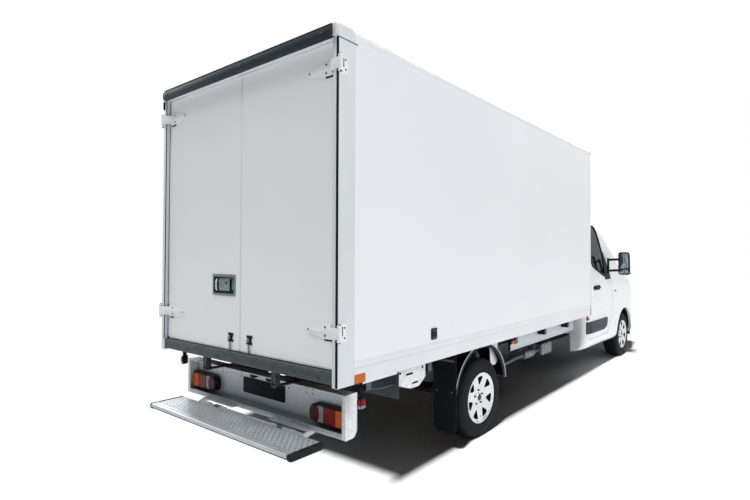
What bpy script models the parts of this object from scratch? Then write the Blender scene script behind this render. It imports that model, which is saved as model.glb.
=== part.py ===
"""Mail delivery truck: a box body with two rear doors on a low van chassis and cab.

Axes: +X forward, +Y to the truck's left, +Z up, ground at Z = 0.
Stations (the x values handed to the helpers) are measured from the rear axle.
"""
import math
import bmesh
import bpy
from mathutils import Matrix, Vector

# ---------------------------------------------------------------- driving sizes, metres
REAR_AXLE = -1.617       # row-frame x of the rear axle
WHEELBASE = 4.332
TRACK = 0.8650           # centre line to wheel centre plane
TYRE_R = 0.345
TYRE_W = 0.225
RIM_R = 0.2062           # bead seat
KING_PIN = 0.780         # steering axis from the centre line

BOX_REAR = -1.763
BOX_SKIN = -1.632        # where the rear frame ends and the side panels start
BOX_FRONT = 2.564
BOX_HALF = 1.082
BOX_IN = 1.030           # inside face of the side walls
BOX_FLOOR = 0.920
BOX_UNDER = 0.825
BOX_TOP = 2.990

DOOR_OUT = -1.735        # outer and inner faces of the rear doors
DOOR_IN = -1.705
DOOR_EDGE = 1.0325
DOOR_SPLIT = -0.030
PIN_X = -1.764           # rear door hinge pins
PIN_Y = 1.100
HINGE_Z = (1.148, 2.745)

BUMPER_WEB = -1.520
BUMPER_LIP = -1.595
STEP_PIN = (-1.655, 0.435)
GAP = 0.0003             # paint-thick clearance between touching pieces
SEG = 24

DOOR_OUTLINE = [(2.72, 0.48), (3.50, 0.48), (3.62, 0.66), (3.70, 0.92), (3.70, 1.28),
                (3.36, 1.80), (3.235, 2.04), (3.18, 2.08), (2.80, 2.08), (2.72, 2.00)]
GLASS_OUTLINE = [(2.79, 1.64), (2.94, 1.46), (3.38, 1.315), (3.40, 1.33), (3.40, 1.62),
                 (3.27, 1.97), (3.22, 2.02), (2.85, 2.02), (2.79, 1.96)]
CAB_SIDE = [(2.60, 0.36), (4.95, 0.30), (5.12, 0.34), (5.174, 0.50), (5.165, 0.70), (5.12, 0.95),
            (5.02, 1.15), (4.80, 1.27), (4.45, 1.42), (3.62, 2.13), (3.42, 2.215), (3.05, 2.255),
            (2.68, 2.245), (2.62, 2.22), (2.60, 2.16)]
CAB_PLAN = [(2.60, 0.855), (2.612, 0.93), (2.655, 0.99), (2.73, 1.025), (2.84, 1.035), (4.55, 1.035),
            (4.90, 0.98), (5.08, 0.86), (5.15, 0.60), (5.174, 0.25)]
CAB_FRONT = [(1.000, 0.26), (1.035, 0.45), (1.035, 1.10), (1.000, 1.35), (0.930, 1.80), (0.870, 2.06),
             (0.800, 2.19), (0.650, 2.256)]


# ---------------------------------------------------------------- helpers
def clear():
    for thing in list(bpy.data.objects):
        bpy.data.objects.remove(thing, do_unlink=True)


def collection(name):
    made = bpy.data.collections.new(name)
    bpy.context.scene.collection.children.link(made)
    return made


def finish(name, mesh_data, tool=False, pivot=(0.0, 0.0, 0.0)):
    """Turn a bmesh into a named object whose origin is at the pivot."""
    bmesh.ops.remove_doubles(mesh_data, verts=mesh_data.verts, dist=0.00001)
    bmesh.ops.recalc_face_normals(mesh_data, faces=mesh_data.faces)
    bmesh.ops.translate(mesh_data, verts=mesh_data.verts, vec=-Vector(pivot))
    mesh = bpy.data.meshes.new(name)
    mesh_data.to_mesh(mesh)
    mesh_data.free()
    made = bpy.data.objects.new(name, mesh)
    made.location = pivot
    (TOOLS if tool else TRUCK).objects.link(made)
    if tool:
        made.hide_render = True
        made.display_type = "WIRE"
    return made


def place(axis, u, v, w):
    """Plane coordinates and an extrusion value to a point; u, v run in X, Y, Z order."""
    if axis == "x":
        return Vector((REAR_AXLE + w, u, v))
    if axis == "y":
        return Vector((REAR_AXLE + u, w, v))
    return Vector((REAR_AXLE + u, v, w))


def slab(name, outline, axis, low, high, tool=True, pivot=(0.0, 0.0, 0.0)):
    """Draw a flat outline square to an axis and extrude it from low to high."""
    made = bmesh.new()
    flat = made.faces.new([made.verts.new(place(axis, u, v, low)) for u, v in outline])
    pulled = bmesh.ops.extrude_face_region(made, geom=[flat], use_keep_orig=True)
    tops = [part for part in pulled["geom"] if isinstance(part, bmesh.types.BMVert)]
    bmesh.ops.translate(made, verts=tops, vec=place(axis, 0, 0, high) - place(axis, 0, 0, low))
    return finish(name, made, tool, pivot)


def block(name, x, y, z, tool=True, pivot=(0.0, 0.0, 0.0)):
    size = Matrix.Diagonal((x[1] - x[0], y[1] - y[0], z[1] - z[0], 1.0))
    middle = Vector((REAR_AXLE + (x[0] + x[1]) / 2, (y[0] + y[1]) / 2, (z[0] + z[1]) / 2))
    made = bmesh.new()
    bmesh.ops.create_cube(made, size=1.0, matrix=Matrix.Translation(middle) @ size)
    return finish(name, made, tool, pivot)


def rod(name, start, end, radius, tool=True, segments=12, pivot=(0.0, 0.0, 0.0)):
    """A round bar between two points given as station, y, z."""
    a = Vector((REAR_AXLE + start[0], start[1], start[2]))
    b = Vector((REAR_AXLE + end[0], end[1], end[2]))
    turn = (b - a).to_track_quat("Z", "Y").to_matrix().to_4x4()
    made = bmesh.new()
    bmesh.ops.create_cone(made, cap_ends=True, segments=segments, radius1=radius, radius2=radius,
                          depth=(b - a).length, matrix=Matrix.Translation((a + b) / 2) @ turn)
    return finish(name, made, tool, pivot)


def turned(name, profile, centre, side, tool=False, segments=SEG):
    """Spin (radius, outward offset) points once round a cross-car axle at the centre."""
    middle = Vector((REAR_AXLE + centre[0], centre[1], centre[2]))
    made = bmesh.new()
    points = [made.verts.new(middle + Vector((0, side * offset, radius))) for radius, offset in profile]
    edges = [made.edges.new(pair) for pair in zip(points, points[1:])]
    if profile[0][0] > 0.0001:
        edges.append(made.edges.new((points[-1], points[0])))
    bmesh.ops.spin(made, geom=points + edges, cent=middle, axis=(0, 1, 0), angle=2 * math.pi, steps=segments,
                   use_merge=True)
    return finish(name, made, tool, middle)


def boolean(target, tool, operation):
    change = target.modifiers.new(operation.lower(), "BOOLEAN")
    change.operation = operation
    change.solver = "EXACT"
    change.object = tool


def add(target, *tools):
    for tool in tools:
        boolean(target, tool, "UNION")


def take(target, *tools):
    for tool in tools:
        boolean(target, tool, "DIFFERENCE")


def keep(target, tool):
    boolean(target, tool, "INTERSECT")


def soften(target, width):
    change = target.modifiers.new("soft edges", "BEVEL")
    change.width = width
    change.segments = 1
    change.limit_method = "ANGLE"


def paint(target, colour, roughness=0.4, metal=0.0, alpha=1.0):
    material = bpy.data.materials.new(target.name)
    material.use_nodes = True
    shader = material.node_tree.nodes["Principled BSDF"]
    shader.inputs["Base Color"].default_value = (*colour, 1.0)
    shader.inputs["Roughness"].default_value = roughness
    shader.inputs["Metallic"].default_value = metal
    shader.inputs["Alpha"].default_value = alpha
    target.data.materials.append(material)


def inset(outline, depth):
    """Move every edge of a counter-clockwise outline inwards by the depth."""
    count = len(outline)
    area = sum(outline[i][0] * outline[(i + 1) % count][1] - outline[(i + 1) % count][0] * outline[i][1]
               for i in range(count))
    sign = 1.0 if area > 0 else -1.0
    moved = []
    for i in range(count):
        before = Vector(outline[i - 1])
        here = Vector(outline[i])
        after = Vector(outline[(i + 1) % count])
        one = (here - before).normalized()
        two = (after - here).normalized()
        n_one = Vector((-one.y, one.x)) * sign
        n_two = Vector((-two.y, two.x)) * sign
        reach = (n_one + n_two) / (1.0 + n_one.dot(n_two))
        moved.append(tuple(here + reach * depth))
    return moved


def mirrored(outline):
    """Close a right-half outline with its mirror about the first coordinate's own axis."""
    return [(u, -v) for u, v in outline] + [(u, v) for u, v in reversed(outline)]


def flip(pair, side):
    return (pair[0], pair[1]) if side > 0 else (-pair[1], -pair[0])


def side_slab(name, outline, low, high, side, tool=True, pivot=(0.0, 0.0, 0.0)):
    low, high = flip((low, high), side)
    return slab(name, outline, "y", low, high, tool, pivot)


def arc(centre, rx, rz, start, end, steps):
    points = []
    for i in range(steps + 1):
        a = math.radians(start + (end - start) * i / steps)
        points.append((centre[0] + rx * math.cos(a), centre[1] + rz * math.sin(a)))
    return points


clear()
TRUCK = collection("mail_delivery_truck")
TOOLS = collection("cutters")
SIDES = (("right", -1), ("left", 1))
WHITE = (0.86, 0.87, 0.88)
DARK = (0.03, 0.03, 0.035)
GALVANISED = (0.50, 0.54, 0.57)
SLATE = (0.19, 0.22, 0.26)

# ---------------------------------------------------------------- chassis, axles, springs
RAIL_SIDE = [(-1.5047, 0.60), (2.10, 0.60), (2.40, 0.44), (4.95, 0.44), (4.95, 0.54), (2.46, 0.54),
             (2.16, 0.72), (-1.5047, 0.72)]
frame = slab("chassis_frame", RAIL_SIDE, "y", 0.47, 0.54, tool=False)
add(frame, slab("rail_far", RAIL_SIDE, "y", -0.54, -0.47))
for number, x in enumerate((-1.45, -0.55, 0.55, 1.30, 2.00)):
    add(frame, block(f"crossmember_{number}", (x - 0.03, x + 0.03), (-0.48, 0.48), (0.62, 0.70)))
for number, x in enumerate((-1.38, -0.72, 0.72, 1.42, 2.10)):
    add(frame, block(f"bearer_{number}", (x - 0.025, x + 0.025), (-0.95, 0.95), (0.715, 0.8247)))
for number, x in enumerate((3.10, 4.10, 4.90)):
    add(frame, block(f"front_crossmember_{number}", (x - 0.03, x + 0.03), (-0.48, 0.48), (0.45, 0.53)))
for side_name, side in SIDES:
    add(frame, block(f"subframe_{side_name}", (0.75, 2.50), flip((0.84, 0.86), side), (0.62, 0.80)))
    add(frame, block(f"lower_arm_{side_name}", (4.29, 4.37), flip((0.48, 0.655), side), (0.265, 0.300)))
    add(frame, block(f"arm_drop_{side_name}", (4.29, 4.37), flip((0.48, 0.53), side), (0.270, 0.46)))
paint(frame, (0.10, 0.10, 0.11), 0.6)

axle = rod("rear_axle", (0, -0.80, TYRE_R), (0, 0.80, TYRE_R), 0.045, tool=False, segments=16)
for side_name, side in SIDES:
    add(axle, rod(f"drum_{side_name}", (0, side * 0.765, TYRE_R), (0, side * 0.885, TYRE_R), 0.13, segments=20))
paint(axle, (0.07, 0.07, 0.075), 0.6)

for side_name, side in SIDES:
    lower = arc((0, 2.06), 1.67, 1.67, -112, -68, 10)
    upper = arc((0, 2.06), 1.64, 1.64, -68, -112, 10)
    spring = side_slab(f"leaf_spring_{side_name}", lower + upper, 0.475, 0.535, side, tool=False)
    for end, x in enumerate((-0.61, 0.61)):
        add(spring, block(f"shackle_{side_name}_{end}", (x - 0.02, x + 0.02), flip((0.475, 0.535), side),
                          (0.51, 0.60 - GAP)))
    paint(spring, (0.06, 0.06, 0.065), 0.6)

tank = block("fuel_tank", (1.00, 1.90), (0.58, 0.92), (0.36, 0.60), tool=False)
soften(tank, 0.04)
paint(tank, (0.04, 0.04, 0.045), 0.5)

spare = turned("spare_wheel", [(0.0, 0.09), (0.18, 0.09), (0.20, 0.1), (0.30, 0.112), (0.34, 0.07),
                               (0.345, 0.0), (0.34, -0.07), (0.30, -0.1), (0.20, -0.09), (0.0, -0.09)],
               (-1.02, 0.0, 0.475), 1)
spare.rotation_euler = (math.pi / 2, 0, 0)
paint(spare, DARK, 0.8)

# ---------------------------------------------------------------- box body
floor = block("box_floor", (-1.70, 2.536 - GAP), (-BOX_IN, BOX_IN), (BOX_UNDER + GAP, BOX_FLOOR), tool=False)
paint(floor, (0.25, 0.20, 0.15), 0.6)
wall = block("front_wall", (2.536, BOX_FRONT), (-BOX_IN, BOX_IN), (BOX_UNDER, 2.94 - GAP), tool=False)
paint(wall, WHITE)
roof = block("box_roof", (BOX_SKIN + GAP, BOX_FRONT), (-BOX_IN, BOX_IN), (2.94, BOX_TOP), tool=False)
paint(roof, WHITE)
for side_name, side in SIDES:
    panel = block(f"side_panel_{side_name}", (BOX_SKIN + GAP, BOX_FRONT), flip((BOX_IN + GAP, 1.080), side),
                  (0.96 + GAP, 2.934 - GAP), tool=False)
    paint(panel, WHITE)
    cant = [(BOX_IN + GAP, 2.934), (1.082, 2.934), (1.082, 2.962), (1.066, 2.984), (1.050, BOX_TOP),
            (BOX_IN + GAP, BOX_TOP)]
    rail = slab(f"cant_rail_{side_name}", [(side * y, z) for y, z in cant], "x", BOX_SKIN + GAP, BOX_FRONT,
                tool=False)
    paint(rail, WHITE)
    low = [(BOX_IN + GAP, BOX_UNDER), (1.082, BOX_UNDER), (1.082, 0.922), (1.0795, 0.924), (1.0795, 0.928),
           (1.082, 0.930), (1.082, 0.96), (BOX_IN + GAP, 0.96)]
    rail = slab(f"lower_rail_{side_name}", [(side * y, z) for y, z in low], "x", BOX_SKIN + GAP, BOX_FRONT,
                tool=False)
    paint(rail, WHITE)
    catch = block(f"door_catch_{side_name}", (-0.87, -0.80), flip((1.080 + GAP, 1.092), side), (0.986, 1.072),
                  tool=False)
    paint(catch, DARK, 0.5)

gate = block("rear_frame", (BOX_REAR, BOX_SKIN), (-1.05, 1.05), (2.9033, BOX_TOP), tool=False)
for side_name, side in SIDES:
    add(gate, block(f"post_{side_name}", (BOX_REAR, BOX_SKIN), flip((DOOR_EDGE + 0.0008, BOX_HALF), side),
                    (BOX_UNDER, 2.95)))
    add(gate, block(f"cap_{side_name}", (-1.775, BOX_SKIN - 0.001), flip((1.0, 1.088), side), (2.905, 2.9895)))
    for level, z in enumerate(HINGE_Z):
        add(gate, block(f"hinge_plate_{side_name}_{level}", (-1.748, -1.700), flip((1.0815, 1.087), side),
                        (z - 0.05, z + 0.05)))
        for lug, (low, high) in enumerate(((-0.05, -0.0353), (0.0353, 0.05))):
            add(gate, block(f"lug_{side_name}_{level}_{lug}", (-1.772, -1.740), flip((1.0812, 1.0925), side),
                            (z + low, z + high)))
            add(gate, rod(f"knuckle_{side_name}_{level}_{lug}", (PIN_X, side * PIN_Y, z + low),
                          (PIN_X, side * PIN_Y, z + high), 0.013))
paint(gate, WHITE)

sill = block("rear_sill", (-1.760, -1.7003), (-1.033, 1.033), (0.837, 0.915), tool=False)
for side_name, side in SIDES:
    add(sill, block(f"hanger_{side_name}", (-1.742, -1.702), flip((0.41, 0.455), side), (0.732, 0.85)))
    add(sill, block(f"foot_{side_name}", (-1.742, -1.530), flip((0.41, 0.455), side), (0.7303, 0.742)))
paint(sill, (0.10, 0.13, 0.12), 0.5)

header = slab("header_bar", [(-1.7635, 2.905), (-1.790, 2.911), (-1.796, 2.935), (-1.786, 2.978),
                             (-1.7635, 2.986)], "y", -0.9995, 0.9995, tool=False)
paint(header, SLATE, 0.4)

# ---------------------------------------------------------------- rear bumper, lamps, step
bumper = slab("rear_bumper", [(BUMPER_LIP, 0.73), (-1.505, 0.73), (-1.505, 0.45), (BUMPER_LIP, 0.45),
                              (BUMPER_LIP, 0.485), (-1.587, 0.485), (-1.582, 0.460), (BUMPER_WEB, 0.476),
                              (BUMPER_WEB, 0.722), (BUMPER_LIP, 0.722)], "y", -0.966, 0.966, tool=False)
END_PLATE = [(BUMPER_LIP - 0.002, 0.732), (-1.497, 0.732), (-1.497, 0.483), (-1.529, 0.448),
             (BUMPER_LIP - 0.002, 0.448)]
LUG = [(-1.669, 0.424), (-1.655, 0.416), (-1.640, 0.418), (-1.520, 0.440), (-1.515, 0.456), (-1.630, 0.456),
       (-1.669, 0.446)]
for side_name, side in SIDES:
    add(bumper, side_slab(f"end_plate_{side_name}", END_PLATE, 0.960, 0.969, side))
    add(bumper, side_slab(f"step_lug_{side_name}", LUG, 0.640, 0.652, side))
paint(bumper, GALVANISED, 0.45, 0.6)

LAMP = [(0.945, 0.505), (0.945, 0.615), (0.93, 0.622), (0.64, 0.622), (0.60, 0.605), (0.585, 0.562),
        (0.60, 0.518), (0.64, 0.500), (0.93, 0.498)]
for side_name, side in SIDES:
    lamp = slab(f"tail_lamp_{side_name}", [(side * y, z) for y, z in LAMP], "x", -1.575, BUMPER_WEB - GAP,
                tool=False)
    soften(lamp, 0.006)
    paint(lamp, (0.45, 0.03, 0.03), 0.2)

step = block("step_tread", (-1.940, -1.690), (-0.850, 0.850), (0.418, 0.450), tool=False,
             pivot=(REAR_AXLE + STEP_PIN[0], 0, STEP_PIN[1]))
for side_name, side in SIDES:
    cap = [(-1.931, 0.4505), (-1.940, 0.440), (-1.935, 0.412), (-1.915, 0.4045), (-1.700, 0.4045),
           (-1.684, 0.412), (-1.682, 0.440), (-1.690, 0.4505)]
    add(step, side_slab(f"step_cap_{side_name}", cap, 0.845, 0.872, side))
add(step, rod("step_tube", (STEP_PIN[0], -0.6395, STEP_PIN[1]), (STEP_PIN[0], 0.6395, STEP_PIN[1]), 0.012))
for number, y in enumerate((-0.52, -0.31, 0.31, 0.52)):
    add(step, block(f"step_arm_{number}", (-1.71, -1.652), (y - 0.02, y + 0.02), (0.426, 0.444)))
paint(step, (0.60, 0.62, 0.64), 0.4, 0.8)

# ---------------------------------------------------------------- mudguards with flaps
for side_name, side in SIDES:
    outer = arc((0, 0.42), 0.42, 0.40, 174, 6, 14)
    inner = arc((0, 0.42), 0.408, 0.388, 6, 174, 14)
    guard = side_slab(f"mudguard_{side_name}", outer + inner, 0.74, 0.985, side, tool=False)
    lip_out = arc((0, 0.42), 0.423, 0.4025, 176, 4, 14)
    lip_in = arc((0, 0.42), 0.388, 0.368, 4, 176, 14)
    add(guard, side_slab(f"guard_lip_{side_name}", lip_out + lip_in, 0.978, 0.988, side))
    flap = [(side * y, z) for y, z in ((0.80, 0.80), (0.80, 0.21), (0.83, 0.17), (1.0, 0.17), (1.03, 0.21),
                                       (1.03, 0.80))]
    add(guard, slab(f"flap_{side_name}", flap, "x", -0.475, -0.463))
    add(guard, block(f"flap_stay_{side_name}", (-0.465, -0.405), flip((0.80, 0.98), side), (0.47, 0.50)))
    paint(guard, DARK, 0.7)

# ---------------------------------------------------------------- rear doors
DOOR_SPAN = {"right": (-DOOR_EDGE, DOOR_SPLIT - 0.002), "left": (DOOR_SPLIT + 0.002, DOOR_EDGE)}
for side_name, side in SIDES:
    pivot = (REAR_AXLE + PIN_X, side * PIN_Y, 0.0)
    leaf = block(f"rear_door_{side_name}", (DOOR_OUT, DOOR_IN), DOOR_SPAN[side_name], (0.921, 2.900), tool=False,
                 pivot=pivot)
    if side_name == "left":
        take(leaf, block("lock_pocket", (DOOR_OUT - 0.01, -1.714), (0.0445, 0.3205), (1.3245, 1.4525)))
    paint(leaf, (0.72, 0.74, 0.75), 0.45)
    for level, z in zip(("lower", "upper"), HINGE_Z):
        plate = [(0.765, -0.012), (0.93, -0.048), (0.995, -0.048), (0.995, 0.048), (0.93, 0.048), (0.765, 0.012)]
        strap = slab(f"hinge_strap_{level}_{side_name}", [(side * y, z + dz) for y, dz in plate], "x",
                     DOOR_OUT - 0.006, DOOR_OUT - GAP, tool=False, pivot=pivot)
        joggle = [(-1.7353, 0.975), (-1.7353, 0.992), (-1.7665, 1.022), (-1.7665, 1.100), (-1.7725, 1.100),
                  (-1.7725, 1.019), (-1.7413, 0.989), (-1.7413, 0.975)]
        add(strap, slab(f"joggle_{level}_{side_name}", [(x, side * y) for x, y in joggle], "z",
                        z - 0.034, z + 0.034))
        add(strap, rod(f"barrel_{level}_{side_name}", (PIN_X, side * PIN_Y, z - 0.035),
                       (PIN_X, side * PIN_Y, z + 0.035), 0.013))
        paint(strap, WHITE)

bezel = block("lock_bezel", (-1.740, DOOR_OUT - GAP), (0.030, 0.335), (1.310, 1.467), tool=False)
add(bezel, block("lock_tray", (-1.738, -1.7145), (0.045, 0.320), (1.325, 1.452)))
take(bezel, block("lock_recess", (-1.750, -1.7175), (0.055, 0.310), (1.335, 1.442)))
paint(bezel, (0.33, 0.40, 0.40), 0.35, 0.8)
HANDLE_PIN = (-1.732, 1.436)
handle = block("lock_handle", (-1.738, -1.728), (0.110, 0.300), (1.345, 1.438), tool=False,
               pivot=(REAR_AXLE + HANDLE_PIN[0], 0.2, HANDLE_PIN[1]))
soften(handle, 0.002)
paint(handle, (0.20, 0.26, 0.26), 0.35, 0.8)

for side_name, y in (("right", -0.150), ("left", 0.085)):
    latch = rod(f"latch_{side_name}", (-1.7455, y, 0.926), (-1.7455, y, 1.030), 0.005, tool=False, segments=10)
    add(latch, block(f"latch_grip_{side_name}", (-1.7555, -1.7400), (y - 0.012, y + 0.012), (1.000, 1.024)))
    add(latch, rod(f"latch_tip_{side_name}", (-1.7455, y, 0.924), (-1.7455, y, 0.938), 0.0085))
    paint(latch, (0.12, 0.16, 0.16), 0.4, 0.6)


# ---------------------------------------------------------------- cab
def cab_form(name, depth, bottom=None):
    """The cab's whole outer volume, drawn in by a depth: side, plan and front views intersected."""
    side_view = inset(CAB_SIDE, depth) if depth else list(CAB_SIDE)
    plan = inset(mirrored(CAB_PLAN), depth) if depth else mirrored(CAB_PLAN)
    front = inset([(-y, z) for y, z in CAB_FRONT] + [(y, z) for y, z in reversed(CAB_FRONT)], depth)
    if bottom is not None:
        side_view = [(x, bottom if z < 0.46 else z) for x, z in side_view]
        front = [(y, bottom if z < 0.40 else z) for y, z in front]
    form = slab(name, side_view, "y", -1.2, 1.2)
    keep(form, slab(name + "_plan", plan, "z", 0.1, 2.5))
    keep(form, slab(name + "_front", front, "x", 2.4, 5.4))
    return form


ARCH = (WHEELBASE, TYRE_R)
cab_outer = cab_form("cab_outer", 0.0)
cab_inner = cab_form("cab_inner", 0.045, bottom=0.20)
glass_inner = cab_form("glass_inner", 0.010, bottom=0.20)
for side_name, side in SIDES:
    take(cab_inner, rod(f"liner_{side_name}", (ARCH[0], side * 0.546, ARCH[1]), (ARCH[0], side * 1.2, ARCH[1]),
                        0.46, segments=28))


def from_cab(name, region, pivot=(0.0, 0.0, 0.0), inner=None):
    """Keep the part of the cab's skin that lies inside a region."""
    keep(region, cab_outer)
    take(region, inner or cab_inner)
    return region


BONNET_PIN = (4.4675, 1.409)
SCREEN = [(-0.88, 1.455), (0.88, 1.455), (0.76, 2.07), (0.72, 2.10), (-0.72, 2.10), (-0.76, 2.07)]
BONNET = [(4.47, -0.80), (4.92, -0.76), (5.00, -0.62), (5.00, 0.62), (4.92, 0.76), (4.47, 0.80)]
LAMP_VIEW = [(0.64, 0.83), (1.10, 0.83), (1.10, 1.06), (0.80, 1.03), (0.64, 0.96)]

cab = from_cab("cab_shell", slab("cab_shell", CAB_SIDE, "y", -1.1, 1.1, tool=False))
add(cab, block("cab_floor", (2.62, 4.70), (-0.93, 0.93), (0.56, 0.62)))
add(cab, block("dashboard", (3.76, 4.22), (-0.99, 0.99), (0.82, 1.20)))
STEER_HUB = (3.52, 0.42, 1.22)
STEER_AXIS = (-math.cos(math.radians(50)), 0.0, math.sin(math.radians(50)))
column_top = tuple(STEER_HUB[i] - 0.0255 * STEER_AXIS[i] for i in range(3))
column_low = tuple(STEER_HUB[i] - 0.46 * STEER_AXIS[i] for i in range(3))
add(cab, rod("steering_column", column_low, column_top, 0.03, segments=10))
take(cab, slab("screen_opening", inset(SCREEN, -0.003), "x", 3.30, 4.70))
take(cab, slab("bonnet_opening", inset(BONNET, -0.004), "z", 1.10, 1.60))
take(cab, block("bumper_opening", (4.797, 5.30), (-1.2, 1.2), (0.20, 0.743)))
take(cab, block("frame_gap", (2.50, 2.70), (-0.60, 0.60), (0.20, 0.555)))
for side_name, side in SIDES:
    take(cab, rod(f"arch_{side_name}", (ARCH[0], side * 0.559, ARCH[1]), (ARCH[0], side * 1.2, ARCH[1]), 0.43,
                  segments=28))
    take(cab, side_slab(f"door_opening_{side_name}", inset(DOOR_OUTLINE, -0.005), 0.70, 1.20, side))
    take(cab, slab(f"lamp_opening_{side_name}", [(side * y, z) for y, z in inset(LAMP_VIEW, -0.002)], "x",
                   4.70, 5.30))
paint(cab, WHITE)

screen = from_cab("windscreen", slab("windscreen", SCREEN, "x", 3.30, 4.70, tool=False), inner=glass_inner)
paint(screen, (0.03, 0.04, 0.05), 0.1, 0.0, 0.6)
nose = from_cab("front_bumper", block("front_bumper", (4.80, 5.30), (-1.2, 1.2), (0.20, 0.74), tool=False))
paint(nose, (0.05, 0.05, 0.055), 0.6)
bonnet = slab("bonnet", BONNET, "z", 1.10, 1.60, tool=False,
              pivot=(REAR_AXLE + BONNET_PIN[0], 0.0, BONNET_PIN[1]))
from_cab("bonnet", bonnet)
paint(bonnet, WHITE)
for side_name, side in SIDES:
    lamp = from_cab("lamp", slab(f"headlamp_{side_name}", [(side * y, z) for y, z in LAMP_VIEW], "x", 4.70, 5.30,
                                 tool=False))
    paint(lamp, (0.75, 0.78, 0.80), 0.1)

    hinge = (REAR_AXLE + 3.7025, side * 1.035, 0.0)
    door = side_slab(f"cab_door_{side_name}", DOOR_OUTLINE, 0.70, 1.20, side, tool=False, pivot=hinge)
    from_cab("door", door)
    take(door, side_slab(f"window_opening_{side_name}", inset(GLASS_OUTLINE, -0.0005), 0.70, 1.20, side))
    add(door, block(f"mirror_base_{side_name}", (3.445, 3.495), flip((0.945, 1.005), side), (1.36, 1.56)))
    paint(door, WHITE)
    glass = side_slab(f"door_glass_{side_name}", GLASS_OUTLINE, 0.70, 1.20, side, tool=False)
    from_cab("glass", glass, inner=glass_inner)
    paint(glass, (0.03, 0.04, 0.05), 0.1, 0.0, 0.6)

    fold = (REAR_AXLE + 3.47, side * 1.025, 1.46)
    mirror = block(f"mirror_{side_name}", (3.565, 3.665), flip((1.129, 1.300), side), (1.32, 1.66), tool=False,
                   pivot=fold)
    soften(mirror, 0.018)
    add(mirror, rod(f"fold_pin_{side_name}", (3.47, side * 1.025, 1.35), (3.47, side * 1.025, 1.57), 0.014))
    for level, z in enumerate((1.375, 1.548)):
        add(mirror, rod(f"mirror_arm_{side_name}_{level}", (3.47, side * 1.025, z), (3.62, side * 1.17, z), 0.011))
    paint(mirror, DARK, 0.4)

SEAT = [(2.92, 0.62 + GAP), (3.40, 0.62 + GAP), (3.43, 0.90), (3.40, 0.95), (3.04, 0.93), (2.92, 1.48),
        (2.84, 1.53), (2.78, 1.50), (2.90, 0.90)]
seats = slab("cab_seats", SEAT, "y", -0.78, -0.05, tool=False)
add(seats, slab("driver_seat", SEAT, "y", 0.16, 0.68))
add(seats, block("seat_plinth", (2.95, 3.34), (-0.70, 0.60), (0.62 + GAP, 0.74)))
paint(seats, (0.08, 0.08, 0.09), 0.9)

# ---------------------------------------------------------------- steering wheel
hub = Vector((REAR_AXLE + STEER_HUB[0], STEER_HUB[1], STEER_HUB[2]))
tilt = Vector(STEER_AXIS).to_track_quat("Z", "Y").to_matrix().to_4x4()
bpy.ops.mesh.primitive_torus_add(major_segments=20, minor_segments=6, major_radius=0.20, minor_radius=0.015)
torus = bpy.context.object
ring = bmesh.new()
ring.from_mesh(torus.data)
bpy.data.objects.remove(torus, do_unlink=True)
bmesh.ops.transform(ring, matrix=Matrix.Translation(hub) @ tilt, verts=ring.verts)
wheel = finish("steering_wheel", ring, pivot=hub)


def on_wheel(x, y, z):
    point = hub + tilt @ Vector((x, y, z))
    return (point.x - REAR_AXLE, point.y, point.z)


add(wheel, rod("steer_boss", on_wheel(0, 0, -0.025), on_wheel(0, 0, 0.015), 0.045))
for i in range(3):
    a = 2 * math.pi * i / 3
    add(wheel, rod(f"steer_spoke_{i}", on_wheel(0, 0, 0), on_wheel(0.20 * math.cos(a), 0.20 * math.sin(a), 0), 0.011,
                   segments=8))
paint(wheel, DARK, 0.5)

# ---------------------------------------------------------------- road wheels
TYRE = [(RIM_R + GAP, 0.0), (RIM_R + GAP, 0.100), (0.222, 0.1065), (0.245, 0.1125), (0.285, 0.1125),
        (0.322, 0.104), (0.339, 0.084), (TYRE_R, 0.050), (TYRE_R, -0.050), (0.339, -0.084), (0.322, -0.104),
        (0.285, -0.1125), (0.245, -0.1125), (0.222, -0.1065), (RIM_R + GAP, -0.100)]
RIM = [(0.0, 0.086), (0.050, 0.086), (0.060, 0.074), (0.150, 0.092), (0.190, 0.090), (0.200, 0.098),
       (0.2195, 0.1115), (0.2195, 0.1068), (RIM_R, 0.1006), (RIM_R, -0.1006), (0.2195, -0.1068),
       (0.2195, -0.1115), (0.198, -0.103), (0.196, 0.040), (0.185, 0.072), (0.150, 0.078), (0.060, 0.058),
       (0.0, 0.058)]
for end, x in (("rear", 0.0), ("front", WHEELBASE)):
    for side_name, side in SIDES:
        centre = (x, side * TRACK, TYRE_R)
        tyre = turned(f"tyre_{end}_{side_name}", TYRE, centre, side)
        paint(tyre, DARK, 0.85)
        rim = turned(f"rim_{end}_{side_name}", RIM, centre, side)
        for number in range(7):
            a = 2 * math.pi * number / 7 + math.pi / 2
            window = []
            for r, w in ((0.105, 0.16), (0.172, 0.25), (0.172, -0.25), (0.105, -0.16)):
                window.append((x + r * math.cos(a + w), TYRE_R + r * math.sin(a + w)))
            take(rim, side_slab(f"window_{end}_{side_name}_{number}", window, TRACK + 0.045, TRACK + 0.13, side))
        paint(rim, (0.62, 0.63, 0.65), 0.35, 0.8)

for side_name, side in SIDES:
    pivot = (REAR_AXLE + WHEELBASE, side * KING_PIN, TYRE_R)
    knuckle = rod(f"knuckle_{side_name}", (WHEELBASE, side * 0.775, TYRE_R), (WHEELBASE, side * 0.895, TYRE_R), 0.13,
                  tool=False, segments=20, pivot=pivot)
    add(knuckle, rod(f"upright_{side_name}", (WHEELBASE, side * 0.665, TYRE_R), (WHEELBASE, side * 0.80, TYRE_R),
                     0.05))
    paint(knuckle, (0.07, 0.07, 0.075), 0.6)
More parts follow.
